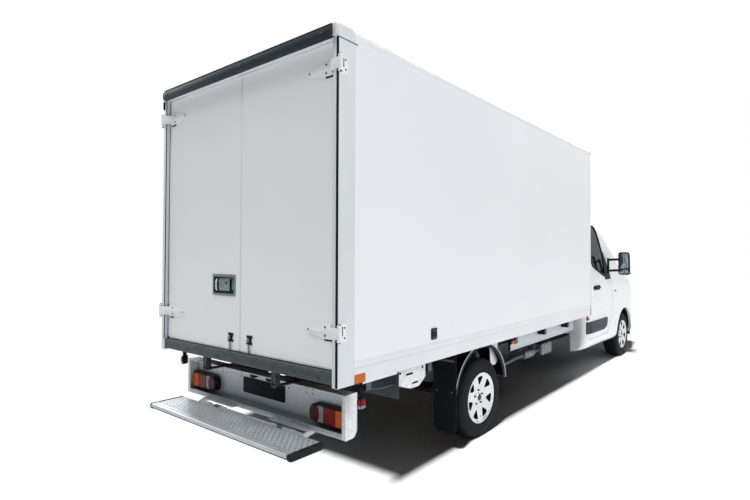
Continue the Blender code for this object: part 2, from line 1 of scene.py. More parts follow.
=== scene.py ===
# %% [markdown]
# # A mail delivery truck in numpy surfaces
# The real truck is a tall box of glued sandwich panels on a low van chassis, with a steel van cab in
# front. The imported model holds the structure, the sizes and the joints. This lesson dresses it: each
# visible piece is a surface worked out as whole arrays, and each finish is a small net of shader nodes.

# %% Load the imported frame
import math
import bmesh
import bpy
import numpy as np
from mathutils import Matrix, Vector


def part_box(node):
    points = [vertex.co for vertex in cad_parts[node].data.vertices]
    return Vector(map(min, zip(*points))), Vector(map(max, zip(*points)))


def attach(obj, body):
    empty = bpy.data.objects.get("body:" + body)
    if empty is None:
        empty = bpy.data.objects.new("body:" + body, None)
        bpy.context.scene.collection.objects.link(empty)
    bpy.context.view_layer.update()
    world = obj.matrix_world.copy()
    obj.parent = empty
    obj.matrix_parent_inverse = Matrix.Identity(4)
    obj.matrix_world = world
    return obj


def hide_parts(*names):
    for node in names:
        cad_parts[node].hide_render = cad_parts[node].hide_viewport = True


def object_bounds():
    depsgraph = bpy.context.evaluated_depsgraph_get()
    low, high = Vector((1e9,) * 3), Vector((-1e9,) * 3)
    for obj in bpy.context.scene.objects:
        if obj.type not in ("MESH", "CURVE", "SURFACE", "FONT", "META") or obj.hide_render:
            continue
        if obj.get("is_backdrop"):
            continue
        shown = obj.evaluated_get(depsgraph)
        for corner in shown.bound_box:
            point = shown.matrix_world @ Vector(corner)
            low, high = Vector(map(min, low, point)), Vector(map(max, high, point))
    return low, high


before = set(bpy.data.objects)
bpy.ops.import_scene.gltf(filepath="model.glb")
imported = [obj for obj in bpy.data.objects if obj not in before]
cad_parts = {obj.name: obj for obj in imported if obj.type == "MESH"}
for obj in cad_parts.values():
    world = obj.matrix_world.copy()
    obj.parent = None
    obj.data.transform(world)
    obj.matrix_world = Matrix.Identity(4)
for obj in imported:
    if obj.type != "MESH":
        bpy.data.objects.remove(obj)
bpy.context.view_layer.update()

# %% [markdown]
# A truck drawing gives lengths as stations, measured forward from the rear axle. Working in stations
# keeps the numbers short and lets both wheels and the body share them. The rear tyre's own box says where
# the axle is.

# %% Stations from the rear axle
tyre_low, tyre_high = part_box("tyre_rear_right")
AXLE_X = (tyre_low.x + tyre_high.x) / 2
FRONT_AXLE = (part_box("tyre_front_right")[0].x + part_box("tyre_front_right")[1].x) / 2 - AXLE_X
TYRE_R = (tyre_high.z - tyre_low.z) / 2
SIDES = (("right", -1), ("left", 1))
print("rear axle at", round(AXLE_X, 3), "wheelbase", round(FRONT_AXLE, 3), "tyre radius", round(TYRE_R, 3))


def span(node):
    """The low and high corner of a CAD node as arrays, with x as a station."""
    low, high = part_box(node)
    return np.array(low) - (AXLE_X, 0, 0), np.array(high) - (AXLE_X, 0, 0)


# %% [markdown]
# Every shape below is a pair: an array of points and a list of faces. A grid of points needs only its row
# and column counts to know its faces, so one small function serves tubes, lathed pieces, extrusions and
# lofts.

# %% Grids, joins and repeats
def grid_faces(rows, columns, wrap=True, closed=False):
    """Each face joins a point to its neighbours along the row and the column; wrap closes the rows."""
    i, j = np.meshgrid(np.arange(rows if closed else rows - 1), np.arange(columns if wrap else columns - 1),
                       indexing="ij")
    right, up = (j + 1) % columns, (i + 1) % rows
    corners = (i * columns + j, i * columns + right, up * columns + right, up * columns + j)
    return np.stack(corners, -1).reshape(-1, 4).tolist()


def loft(sections, caps=True, closed=False):
    """Skin a stack of closed sections, an array of rows x columns x 3, and close its two ends."""
    rows, columns = sections.shape[:2]
    faces = grid_faces(rows, columns, True, closed)
    if caps and not closed:
        faces += [list(range(columns))[::-1], list(range((rows - 1) * columns, rows * columns))]
    return sections.reshape(-1, 3), faces


def join(*shapes):
    """Several shapes as one, with the corner numbers of each shifted past those before it."""
    starts = np.cumsum([0] + [len(points) for points, _ in shapes])
    faces = [[corner + start for corner in face] for (_, made),
             start in zip(shapes, starts.tolist()) for face in made]
    return np.concatenate([points for points, _ in shapes]), faces


def repeat(shape, places):
    """A copy of the shape moved to each place."""
    points, faces = shape
    places = np.asarray(places, float)
    moved = (places[:, None, :] + points[None, :, :]).reshape(-1, 3)
    more = [[corner + k * len(points) for corner in face] for k in range(len(places)) for face in faces]
    return moved, more


def shift(shape, x=0.0, y=0.0, z=0.0):
    """The shape moved by a fixed amount."""
    return shape[0] + (x, y, z), shape[1]


def mirror(shape):
    """The shape's twin on the other side of the truck: y changes sign."""
    return shape[0] * (1, -1, 1), [face[::-1] for face in shape[1]]


def sided(shape, side):
    """Shapes are drawn on the left, where y is positive, and mirrored for the right."""
    return shape if side > 0 else mirror(shape)


# %% Outlines
def rounded(outline, radius, steps=4):
    """Replace each corner by the curve (1-t)^2 a + 2t(1-t) corner + t^2 b, a and b lying a radius away."""
    corner = np.array(outline, float)
    radius = np.broadcast_to(np.asarray(radius, float), len(corner))[:, None]
    back, ahead = np.roll(corner, 1, 0) - corner, np.roll(corner, -1, 0) - corner
    back_length = np.linalg.norm(back, axis=1, keepdims=True)
    ahead_length = np.linalg.norm(ahead, axis=1, keepdims=True)
    a = corner + back / back_length * np.minimum(radius, 0.48 * back_length)
    b = corner + ahead / ahead_length * np.minimum(radius, 0.48 * ahead_length)
    t = np.linspace(0, 1, steps + 1)[None, :, None]
    made = (1 - t) ** 2 * a[:, None] + 2 * t * (1 - t) * corner[:, None] + t ** 2 * b[:, None]
    return made.reshape(-1, corner.shape[1])


def shrunk(outline, depth):
    """Move every edge of an outline inwards by the depth, meeting at mitred corners."""
    around = np.roll(outline, -1, 0) - outline
    area = np.sum(outline[:, 0] * np.roll(outline, -1, 0)[:, 1] - outline[:, 1] * np.roll(outline, -1, 0)[:,
            0])
    edge = around / np.maximum(np.linalg.norm(around, axis=1, keepdims=True), 1e-9)
    after = np.stack([-edge[:, 1], edge[:, 0]], 1) * np.sign(area)
    before = np.roll(after, 1, 0)
    mitre = (before + after) / (1 + np.sum(before * after, 1, keepdims=True)).clip(0.3)
    return outline + mitre * depth


def to_space(flat, along, axis):
    """Put a flat outline and its place along an axis into x, y, z."""
    along = np.broadcast_to(np.asarray(along, float), len(flat))
    u, v = flat[:, 0], flat[:, 1]
    order = {"x": (along, u, v), "y": (u, along, v), "z": (u, v, along)}
    return np.stack(order[axis], 1)


def plate(outline, axis, low, high, edge=0.001, corner=0.0, steps=2, corner_steps=4):
    """An outline carried along an axis, drawn in by a quarter circle at both ends to round its edges."""
    flat = rounded(outline, corner, corner_steps) if np.any(corner) else np.array(outline, float)
    turn = np.linspace(0, math.pi / 2, steps + 1) if edge else np.zeros(1)
    inset = edge * (1 - np.sin(turn))
    rise = edge * (1 - np.cos(turn))
    layers = [to_space(shrunk(flat, i) if i else flat, low + r, axis) for i, r in zip(inset, rise)]
    layers += [to_space(shrunk(flat, i) if i else flat, high - r, axis) for i,
               r in zip(inset[::-1], rise[::-1])]
    return loft(np.stack(layers))


def bar(x, y, z, edge=0.002, along="z"):
    """A rectangular block between two values on each axis, its edges rounded."""
    pairs = {"x": (y, z, x), "y": (x, z, y), "z": (x, y, z)}
    u, v, w = (sorted(pair) for pair in pairs[along])
    outline = [(u[0], v[0]), (u[1], v[0]), (u[1], v[1]), (u[0], v[1])]
    return plate(outline, along, w[0], w[1], edge, edge)


def pillow(x, y, z, radius, steps=5):
    """A box with fully rounded corners: a sphere cut in eight and pulled apart to the box's inner corners."""
    quarter = np.linspace(0, math.pi / 2, steps + 1)
    longitude = (quarter[None, :] + np.arange(4)[:, None] * math.pi / 2).ravel()
    latitude = np.concatenate([quarter - math.pi / 2, quarter])
    middle = np.repeat(np.arange(4) * math.pi / 2 + math.pi / 4, steps + 1)
    up = np.repeat((-1.0, 1.0), steps + 1)
    ball = np.stack(np.broadcast_arrays(np.cos(latitude)[:, None] * np.cos(longitude)[None, :],
            np.cos(latitude)[:, None] * np.sin(longitude)[None, :], np.sin(latitude)[:, None]), -1)
    signs = np.stack(np.broadcast_arrays(np.sign(np.cos(middle))[None, :], np.sign(np.sin(middle))[None, :],
            up[:, None]), -1)
    ends = np.array([sorted(x), sorted(y), sorted(z)])
    centre, half = ends.mean(1), np.ptp(ends, axis=1) / 2
    reach = np.minimum(radius, half)
    return loft(centre + signs * (half - reach) + ball * reach)


# %% Turned and swept shapes
def through(points, between=6, closed=False):
    """A smooth curve through the points: the Catmull-Rom cubic, worked out for all its stretches at once."""
    p = np.array(points, float)
    p = np.concatenate([p[-1:], p, p[:2]]) if closed else np.concatenate([2 * p[:1] - p[1:2], p,
            2 * p[-1:] - p[-2:-1]])
    t = np.arange(between)[None, :, None] / between
    a, b, c, d = (p[k:len(p) - 3 + k][:, None] for k in range(4))
    square, cube = 2 * a - 5 * b + 4 * c - d, 3 * b - a - 3 * c + d
    made = 0.5 * (2 * b + (c - a) * t + square * t ** 2 + cube * t ** 3)
    made = made.reshape(-1, p.shape[1])
    return made if closed else np.concatenate([made, p[-2:-1]])


def tube(path, radius, sides=12, up=(0.0, 0.0, 1.0)):
    """Circles of the given radius carried along a path, each square to the path's direction there."""
    path = np.array(path, float)
    ahead = np.gradient(path, axis=0)
    ahead /= np.linalg.norm(ahead, axis=1, keepdims=True)
    across = np.cross(ahead, up)
    across /= np.linalg.norm(across, axis=1, keepdims=True)
    over = np.cross(across, ahead)
    turn = np.linspace(0, 2 * math.pi, sides, endpoint=False)[None, :, None]
    radius = np.broadcast_to(np.asarray(radius, float), len(path))[:, None, None]
    return loft(path[:, None] + radius * (across[:, None] * np.cos(turn) + over[:, None] * np.sin(turn)))


def turned(profile, centre, axis="y", sides=32, closed=False, sweep=360.0, start=0.0):
    """Carry a profile of radius and height pairs round an axis through the centre."""
    profile = np.array(profile, float)
    count = sides if sweep == 360 else sides + 1
    turn = np.radians(start) + np.linspace(0, math.radians(sweep), count, endpoint=sweep != 360)
    r, h = profile[:, 0][:, None], np.broadcast_to(profile[:, 1][:, None], (len(profile), count))
    a, b = r * np.cos(turn), r * np.sin(turn)
    order = {"x": (h, a, b), "y": (a, h, b), "z": (a, b, h)}
    points = np.stack(order[axis], -1) + np.array(centre, float)
    return loft(points, caps=not closed and profile[0][0] > 0, closed=closed)


def bolt(centre, axis="x", side=-1, head=0.008, height=0.004, sides=10):
    """A domed screw head: a small profile turned about the screw's own axis."""
    dome = [(0, height), (head * 0.55, height * 0.9), (head * 0.9, height * 0.55), (head, 0.0),
            (head, -0.001), (0, -0.001)]
    return turned([(r, h * side) for r, h in dome], centre, axis, sides)


# %% [markdown]
# A shape becomes a piece when it is welded, its faces are turned outwards, and it is given a finish and a
# body to ride on. Doing this in one place keeps every seam and pole closed.

# %% Shape to piece
made_pieces = {}


def piece(name, shape, finish, body="vehicle", slot=None, replaces=(), soft_angle=35.0, bevel=0.0):
    """Weld coincident points, turn faces outwards, shade, and fasten the piece to its body."""
    points, faces = shape
    mesh = bpy.data.meshes.new(name)
    mesh.from_pydata((points + (AXLE_X, 0, 0)).tolist(), [], faces)
    work = bmesh.new()
    work.from_mesh(mesh)
    bmesh.ops.remove_doubles(work, verts=work.verts, dist=0.00002)
    bmesh.ops.dissolve_degenerate(work, dist=0.00001, edges=work.edges)
    bmesh.ops.recalc_face_normals(work, faces=work.faces)
    work.to_mesh(mesh)
    work.free()
    mesh.shade_smooth()
    mesh.set_sharp_from_angle(angle=math.radians(soft_angle))
    made = bpy.data.objects.new(name, mesh)
    bpy.context.scene.collection.objects.link(made)
    mesh.materials.append(finishes[finish])
    if bevel:
        soften = made.modifiers.new("soft edges", "BEVEL")
        soften.width, soften.segments, soften.limit_method = bevel, 2, "ANGLE"
        soften.harden_normals = True
    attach(made, body)
    if replaces:
        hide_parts(*replaces)
    made_pieces[name] = len(mesh.polygons)
    return made


def handed(side, name, shape, finish, *more, **facts):
    """One side's piece: the shape is drawn on the left, and the name ends in the side's own name."""
    return piece(f"{name}_{'left' if side > 0 else 'right'}", sided(shape, side), finish, *more, **facts)
# %% [markdown]
# ## Finishes
# Nothing on a working truck is one flat colour. Paint has orange peel and dust that thickens towards the
# ground, zinc has spangle, rubber fades, cast plastic has a fine grain. One recipe makes these from
# layers of noise on Object coordinates, so that a pattern keeps its real size on every piece.

# %% The layered recipe
def linear(red, green, blue):
    """A colour given as screen values from 0 to 255, as the light values that a shader takes."""
    value = np.array([red, green, blue]) / 255
    return (*np.where(value <= 0.04045, value / 12.92, ((value + 0.055) / 1.055) ** 2.4).tolist(), 1.0)


def new_finish(name):
    """An empty finish: its nodes, its Principled shader and the point that the patterns are measured from."""
    finish = bpy.data.materials.new(name)
    finish.use_nodes = True
    nodes, links = finish.node_tree.nodes, finish.node_tree.links
    shader = nodes["Principled BSDF"]
    place = nodes.new("ShaderNodeTexCoord").outputs["Object"]
    return finish, nodes, links, shader, place


def noise(nodes, links, place, size, detail=4.0, stretch=(1, 1, 1)):
    """Cloudy noise whose blobs are about the given size in metres, stretched along the axes if asked."""
    mapping = nodes.new("ShaderNodeMapping")
    mapping.inputs["Scale"].default_value = [1 / (size * s) for s in stretch]
    links.new(place, mapping.inputs["Vector"])
    texture = nodes.new("ShaderNodeTexNoise")
    texture.inputs["Scale"].default_value = 1.0
    texture.inputs["Detail"].default_value = detail
    links.new(mapping.outputs["Vector"], texture.inputs["Vector"])
    return texture.outputs["Fac"]


def ranged(nodes, links, value, low, high, start=0.3, end=0.7):
    """Spread a noise value between two others."""
    change = nodes.new("ShaderNodeMapRange")
    for socket, number in zip(("From Min", "From Max", "To Min", "To Max"), (start, end, low, high)):
        change.inputs[socket].default_value = number
    links.new(value, change.inputs["Value"])
    return change.outputs["Result"]


def mixed(nodes, links, share, one, two):
    """Blend two colours by a share; each is a colour or another node's output."""
    mix = nodes.new("ShaderNodeMix")
    mix.data_type = "RGBA"
    links.new(share, mix.inputs["Factor"])
    for socket, colour in (("A", one), ("B", two)):
        target = next(i for i in mix.inputs if i.name == socket and i.type == "RGBA")
        if isinstance(colour, tuple):
            target.default_value = colour
        else:
            links.new(colour, target)
    return next(o for o in mix.outputs if o.type == "RGBA")


def raised(nodes, links, height, depth, strength=1.0, under=None):
    """Turn a height pattern into a bump of a real depth, on top of another bump if there is one."""
    bump = nodes.new("ShaderNodeBump")
    bump.inputs["Distance"].default_value = depth
    bump.inputs["Strength"].default_value = strength
    links.new(height, bump.inputs["Height"])
    if under is not None:
        links.new(under, bump.inputs["Normal"])
    return bump.outputs["Normal"]


DUST = linear(122, 116, 106)


def coated(name, colour, rough=0.35, metal=0.0, cloud=0.05, cloud_size=0.5, grain=0.003, depth=0.0002,
           dust=0.0, dust_top=0.9, coat=0.0, stretch=(1, 1, 1), fleck=None):
    """Colour clouded by broad noise, road dust that fades upwards, a fine grain in gloss and bump."""
    finish, nodes, links, shader, place = new_finish(name)
    broad = noise(nodes, links, place, cloud_size, 5.0, stretch)
    fine = noise(nodes, links, place, grain, 2.0, stretch)
    dark = tuple(channel * (1 - 2 * cloud) for channel in colour[:3]) + (1.0,)
    light = tuple(min(1.0, channel * (1 + cloud)) for channel in colour[:3]) + (1.0,)
    shade = mixed(nodes, links, ranged(nodes, links, broad, 0, 1), dark, light)
    if fleck:
        shade = mixed(nodes, links, ranged(nodes, links, fine, 0, 1, 0.5, 0.72), shade, fleck)
    if dust:
        split = nodes.new("ShaderNodeSeparateXYZ")
        links.new(place, split.inputs[0])
        low = ranged(nodes, links, split.outputs["Z"], dust, 0.0, 0.15, dust_top)
        share = nodes.new("ShaderNodeMath")
        share.operation = "MULTIPLY"
        links.new(low, share.inputs[0])
        links.new(ranged(nodes, links, noise(nodes, links, place, 0.11, 6.0), 0.1, 1.0), share.inputs[1])
        shade = mixed(nodes, links, share.outputs[0], shade, DUST)
    links.new(shade, shader.inputs["Base Color"])
    links.new(ranged(nodes, links, broad, max(0.03, rough * 0.82), min(1.0, rough * 1.18)),
              shader.inputs["Roughness"])
    links.new(raised(nodes, links, fine, depth, 0.5), shader.inputs["Normal"])
    shader.inputs["Metallic"].default_value = metal
    if coat:
        shader.inputs["Coat Weight"].default_value = coat
        shader.inputs["Coat Roughness"].default_value = 0.06
    if max(colour[:3]) < 0.12:
        shader.inputs["Specular IOR Level"].default_value = 0.18
    return finish


# %% Paints, plastics and metals
BODY_WHITE = linear(235, 239, 243)
finishes = {"body_paint": coated("body_paint", BODY_WHITE, 0.28, cloud=0.006, grain=0.0035, depth=0.00008,
        dust=0.02, coat=0.35), "side_skin": coated("side_skin", BODY_WHITE, 0.38, cloud=0.01,
        cloud_size=1.6, grain=0.006, depth=0.00025, dust=0.03, coat=0.12),
            "door_skin": coated("door_skin", linear(233, 236, 239), 0.4, cloud=0.012, cloud_size=1.3,
        grain=0.006, depth=0.0003, dust=0.04, coat=0.1), "post_paint": coated("post_paint", linear(216, 221,
        225), 0.34, cloud=0.012, grain=0.004, depth=0.00015, dust=0.06, coat=0.2),
            "edge_alloy": coated("edge_alloy", linear(228, 232, 236), 0.34, cloud=0.02, cloud_size=0.3,
        grain=0.002, depth=0.0001, stretch=(1, 1, 8), dust=0.05),
            "jamb_alloy": coated("jamb_alloy", linear(212, 222, 227), 0.46, 0.12, cloud=0.04, grain=0.002,
        stretch=(1, 1, 8)), "slate_alloy": coated("slate_alloy", linear(30, 44, 52), 0.5, 0.0, cloud=0.08,
        cloud_size=0.25, grain=0.002, depth=0.0001, stretch=(1, 8, 1)),
            "seal_rubber": coated("seal_rubber", linear(13, 16, 23), 0.82, cloud=0.12, grain=0.0015,
        depth=0.0002), "black_plastic": coated("black_plastic", linear(13, 15, 20), 0.52, cloud=0.1,
        grain=0.0009, depth=0.00018, dust=0.03), "grey_plastic": coated("grey_plastic", linear(62, 69, 78),
        0.55, cloud=0.06, grain=0.0009, depth=0.0002, dust=0.1), "chassis_paint": coated("chassis_paint",
        linear(16, 20, 25), 0.62, cloud=0.18, cloud_size=0.2, grain=0.004, depth=0.0005, dust=0.22),
            "sill_green": coated("sill_green", linear(38, 47, 48), 0.58, 0.0, cloud=0.12, cloud_size=0.12,
        grain=0.002, fleck=linear(150, 160, 160)), "lock_metal": coated("lock_metal", linear(112, 132, 130),
        0.3, 0.75, cloud=0.14, cloud_size=0.05, grain=0.0012, stretch=(1, 5, 1)),
            "lock_black": coated("lock_black", linear(12, 14, 18), 0.62, 0.0, cloud=0.2, cloud_size=0.05,
        grain=0.001), "bolt_steel": coated("bolt_steel", linear(84, 92, 98), 0.36, 0.8, cloud=0.12,
        cloud_size=0.02, grain=0.001), "silver_can": coated("silver_can", linear(126, 132, 137), 0.4, 0.85,
        cloud=0.15, cloud_size=0.08, grain=0.002, dust=0.2),}
print(len(finishes), "layered finishes")


# %% [markdown]
# Hot-dip zinc freezes into flat crystals, a hand's breadth down to a few millimetres across. Voronoi
# cells give each crystal its own tint and gloss. The pressed tread is bare alloy.

# %% Zinc, tread and rim
def zinc(name, colour, cell, rough, metal, dust=0.1):
    """Each Voronoi cell tints the colour and the gloss; dust lies over it."""
    finish, nodes, links, shader, place = new_finish(name)
    cells = nodes.new("ShaderNodeTexVoronoi")
    cells.inputs["Scale"].default_value = 1 / cell
    links.new(place, cells.inputs["Vector"])
    split = nodes.new("ShaderNodeSeparateColor")
    links.new(cells.outputs["Color"], split.inputs[0])
    dark = tuple(channel * 0.82 for channel in colour[:3]) + (1.0,)
    shade = mixed(nodes, links, split.outputs[0], dark, colour)
    grime = noise(nodes, links, place, 0.16, 6.0, (1, 2, 1))
    shade = mixed(nodes, links, ranged(nodes, links, grime, 0, dust, 0.4, 0.75), shade, DUST)
    links.new(shade, shader.inputs["Base Color"])
    links.new(ranged(nodes, links, split.outputs[1], rough * 0.8, rough * 1.25, 0, 1),
              shader.inputs["Roughness"])
    links.new(raised(nodes, links, noise(nodes, links, place, 0.004, 3.0), 0.0002, 0.4),
              shader.inputs["Normal"])
    shader.inputs["Metallic"].default_value = metal
    return finish


finishes["bumper_zinc"] = zinc("bumper_zinc", linear(196, 206, 212), 0.012, 0.4, 0.15)
finishes["plate_white"] = zinc("plate_white", linear(236, 240, 243), 0.02, 0.42, 0.0, 0.05)
finishes["tread_alloy"] = zinc("tread_alloy", linear(196, 202, 207), 0.006, 0.34, 0.55, 0.25)
finishes["rim_silver"] = coated("rim_silver", linear(216, 220, 223), 0.14, 0.92, cloud=0.05, cloud_size=0.1,
        grain=0.0012, depth=0.0001, dust=0.1, dust_top=0.6, coat=0.3)


# %% [markdown]
# A tyre's sidewall carries fine moulded rings, and its tread is dull from the road. The rings follow the
# wheel, so they come from the distance to the hub, which a Mapping node and a vector length give.

# %% Tyre rubber
def tyre_rubber(name, hub_x):
    """Rings of a few millimetres by distance from the hub, faded and dusty rubber over them."""
    finish, nodes, links, shader, place = new_finish(name)
    centred = nodes.new("ShaderNodeMapping")
    centred.inputs["Location"].default_value = (-hub_x, 0, -TYRE_R)
    centred.inputs["Scale"].default_value = (1, 0, 1)
    links.new(place, centred.inputs["Vector"])
    reach = nodes.new("ShaderNodeVectorMath")
    reach.operation = "LENGTH"
    links.new(centred.outputs["Vector"], reach.inputs[0])
    ripple = nodes.new("ShaderNodeMath")
    ripple.operation = "SINE"
    count = nodes.new("ShaderNodeMath")
    count.operation = "MULTIPLY"
    count.inputs[1].default_value = 2 * math.pi / 0.0042
    links.new(reach.outputs["Value"], count.inputs[0])
    links.new(count.outputs[0], ripple.inputs[0])
    cloud = noise(nodes, links, place, 0.09, 6.0)
    shade = mixed(nodes, links, ranged(nodes, links, cloud, 0, 1), linear(9, 12, 18), linear(24, 28, 36))
    links.new(shade, shader.inputs["Base Color"])
    links.new(ranged(nodes, links, cloud, 0.72, 0.92), shader.inputs["Roughness"])
    shader.inputs["Specular IOR Level"].default_value = 0.2
    fine = raised(nodes, links, noise(nodes, links, place, 0.0015, 2.0), 0.0002, 0.4)
    links.new(raised(nodes, links, ripple.outputs[0], 0.0003, 0.5, fine), shader.inputs["Normal"])
    return finish


finishes["tyre_rear"] = tyre_rubber("tyre_rear", AXLE_X)
finishes["tyre_front"] = tyre_rubber("tyre_front", AXLE_X + FRONT_AXLE)


# %% [markdown]
# A lamp lens is clear plastic over rows of small prisms. Two crossed waves make the prisms as a bump, and
# the coloured plastic passes a little light. Window glass is dark because the cab behind it is dark.

# %% Lenses and glass
def lens(name, colour, pitch=0.009, through_light=0.25, glow=0.0):
    """Coloured plastic with ribs across and along at the given pitch, with painted shade in the ribs'
    troughs.
    """
    finish, nodes, links, shader, place = new_finish(name)
    ribs = []
    for direction in ("Y", "Z"):
        wave = nodes.new("ShaderNodeTexWave")
        wave.bands_direction = direction
        wave.inputs["Scale"].default_value = 1 / pitch / 3.18
        wave.inputs["Distortion"].default_value = 0.0
        links.new(place, wave.inputs["Vector"])
        ribs.append(wave.outputs["Fac"])
    both = nodes.new("ShaderNodeMath")
    links.new(ribs[0], both.inputs[0])
    links.new(ribs[1], both.inputs[1])
    # the same rib waves darken the colour to 0.45 in their troughs: painted shade of the prisms, over their
    # bump
    dark = tuple(channel * 0.45 for channel in colour[:3]) + (1.0,)
    shade = mixed(nodes, links, ranged(nodes, links, both.outputs[0], 0, 1, 0.3, 1.6), dark, colour)
    links.new(shade, shader.inputs["Base Color"])
    links.new(raised(nodes, links, both.outputs[0], 0.0012, 0.5), shader.inputs["Normal"])
    shader.inputs["Roughness"].default_value = 0.22
    shader.inputs["Specular IOR Level"].default_value = 0.12
    shader.inputs["Transmission Weight"].default_value = through_light
    shader.inputs["Coat Weight"].default_value = 0.04
    shader.inputs["Coat Roughness"].default_value = 0.03
    if glow:
        links.new(shade, shader.inputs["Emission Color"])
        shader.inputs["Emission Strength"].default_value = glow
    return finish


def window_glass(name, colour, see_through):
    """Tinted glass: a thin film of haze in its gloss, and a share of clear view into the cab."""
    finish, nodes, links, shader, place = new_finish(name)
    haze = noise(nodes, links, place, 0.25, 5.0)
    shade = mixed(nodes, links, ranged(nodes, links, haze, 0, 1), colour,
                  tuple(c * 1.5 for c in colour[:3]) + (1.0,))
    links.new(shade, shader.inputs["Base Color"])
    links.new(ranged(nodes, links, haze, 0.03, 0.08), shader.inputs["Roughness"])
    shader.inputs["Transmission Weight"].default_value = see_through
    shader.inputs["IOR"].default_value = 1.33
    shader.inputs["Coat Weight"].default_value = 0.15
    return finish


finishes["lens_red"] = lens("lens_red", linear(140, 8, 18), 0.009, 0.0, 0.02)
finishes["lens_deep_red"] = lens("lens_deep_red", linear(84, 4, 10), 0.005, 0.0)
finishes["lens_amber"] = lens("lens_amber", linear(226, 104, 26), 0.009, 0.0, 0.06)
finishes["lens_clear"] = lens("lens_clear", linear(206, 210, 214), 0.01, 0.4)
# the reflector is given a faint glow though it is no lamp: painted light for its shine
finishes["reflector_painted_glow"] = lens("reflector_painted_glow", linear(232, 124, 52), 0.006, 0.0, 0.08)
finishes["side_glass"] = window_glass("side_glass", linear(8, 22, 21), 0.12)
finishes["mirror_glass"] = coated("mirror_glass", linear(150, 164, 172), 0.05, 0.9, cloud=0.04,
        cloud_size=0.1, depth=0.00001)


# %% [markdown]
# Inside, the load floor is phenol-faced plywood with a mesh grip, and the seats are woven cloth. Both
# patterns are waves crossed at a real thread or mesh pitch.

# %% Woven and gridded finishes
def crossed(name, one, two, pitch, rough, depth, axes=("X", "Y")):
    """Two sets of waves at right angles, multiplied: the threads of a cloth or the mesh of a grip floor."""
    finish, nodes, links, shader, place = new_finish(name)
    waves = []
    for direction in axes:
        wave = nodes.new("ShaderNodeTexWave")
        wave.bands_direction = direction
        wave.inputs["Scale"].default_value = 1 / pitch / 3.18
        links.new(place, wave.inputs["Vector"])
        waves.append(wave.outputs["Fac"])
    weave = nodes.new("ShaderNodeMath")
    weave.operation = "MULTIPLY"
    links.new(waves[0], weave.inputs[0])
    links.new(waves[1], weave.inputs[1])
    shade = mixed(nodes, links, ranged(nodes, links, weave.outputs[0], 0, 1, 0.1, 0.8), one, two)
    cloud = noise(nodes, links, place, 0.2, 5.0)
    shade = mixed(nodes, links, ranged(nodes, links, cloud, 0, 0.35), shade, one)
    links.new(shade, shader.inputs["Base Color"])
    links.new(raised(nodes, links, weave.outputs[0], depth, 0.6), shader.inputs["Normal"])
    shader.inputs["Roughness"].default_value = rough
    return finish


finishes["load_floor"] = crossed("load_floor", linear(66, 52, 40), linear(96, 78, 60), 0.006, 0.6, 0.0006)
finishes["seat_cloth"] = crossed("seat_cloth", linear(34, 36, 40), linear(64, 68, 76), 0.003, 0.95, 0.0006,
        ("Y", "Z"))
finishes["seat_cloth"].node_tree.nodes["Principled BSDF"].inputs["Sheen Weight"].default_value = 0.3
print(len(finishes), "finishes in all")
# %% [markdown]
# ## Studio
# The truck stands on a pale floor that runs off into white. The floor has a sun of its own, low enough
# behind the truck to throw the shadow forward, while soft lights that skip the floor shape the doors, the
# long side and the roof. A dim world fills the rest, which keeps the ground under the truck dark.

# %% Floor, camera and lights
FLOOR_HALF = 60.0
floor_mesh = bpy.data.meshes.new("studio_floor")
floor_mesh.from_pydata([(x, y, 0.0) for x, y in ((-FLOOR_HALF, -FLOOR_HALF), (FLOOR_HALF, -FLOOR_HALF),
        (FLOOR_HALF, FLOOR_HALF), (-FLOOR_HALF, FLOOR_HALF))], [], [(0, 1, 2, 3)])
studio_floor = bpy.data.objects.new("studio_floor", floor_mesh)
bpy.context.scene.collection.objects.link(studio_floor)
floor_finish = coated("studio_floor", (0.93, 0.93, 0.93, 1.0), 0.9, cloud=0.004, cloud_size=2.0)
floor_mesh.materials.append(floor_finish)
studio_floor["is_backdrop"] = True

camera_data = bpy.data.cameras.new("camera")
camera_data.sensor_width = 36.0
camera_data.lens = 23.376
camera_data.shift_x, camera_data.shift_y = -0.0997, -0.0059
camera = bpy.data.objects.new("camera", camera_data)
camera.location = (AXLE_X - 3.712, -3.264, 1.605)
YAW, PITCH = math.radians(35.33), math.radians(1.19)
look = Vector((math.cos(PITCH) * math.cos(YAW), math.cos(PITCH) * math.sin(YAW), math.sin(PITCH)))
camera.rotation_euler = look.to_track_quat("-Z", "Y").to_euler()
bpy.context.scene.collection.objects.link(camera)
bpy.context.scene.camera = camera


def sun(name, strength, azimuth, elevation, softness, colour=(1.0, 1.0, 1.0)):
    """A far light that shines from the given direction; softness is how wide it looks, in degrees."""
    data = bpy.data.lights.new(name, "SUN")
    data.energy, data.angle, data.color = strength, math.radians(softness), colour
    made = bpy.data.objects.new(name, data)
    a, e = math.radians(azimuth), math.radians(elevation)
    towards = Vector((math.cos(a) * math.cos(e), math.sin(a) * math.cos(e), math.sin(e)))
    made.rotation_euler = towards.to_track_quat("Z", "Y").to_euler()
    bpy.context.scene.collection.objects.link(made)
    return made


floor_sun = sun("floor_sun", 4.5, 192.0, 50.0, 5.0)
top_light = sun("top_light", 2.8, 180.0, 78.0, 25.0)
side_light = sun("side_light", 1.24, -80.0, 20.0, 40.0)
left_light = sun("left_light", 0.9, 80.0, 25.0, 40.0)
front_light = sun("front_light", 0.8, 5.0, 25.0, 40.0)

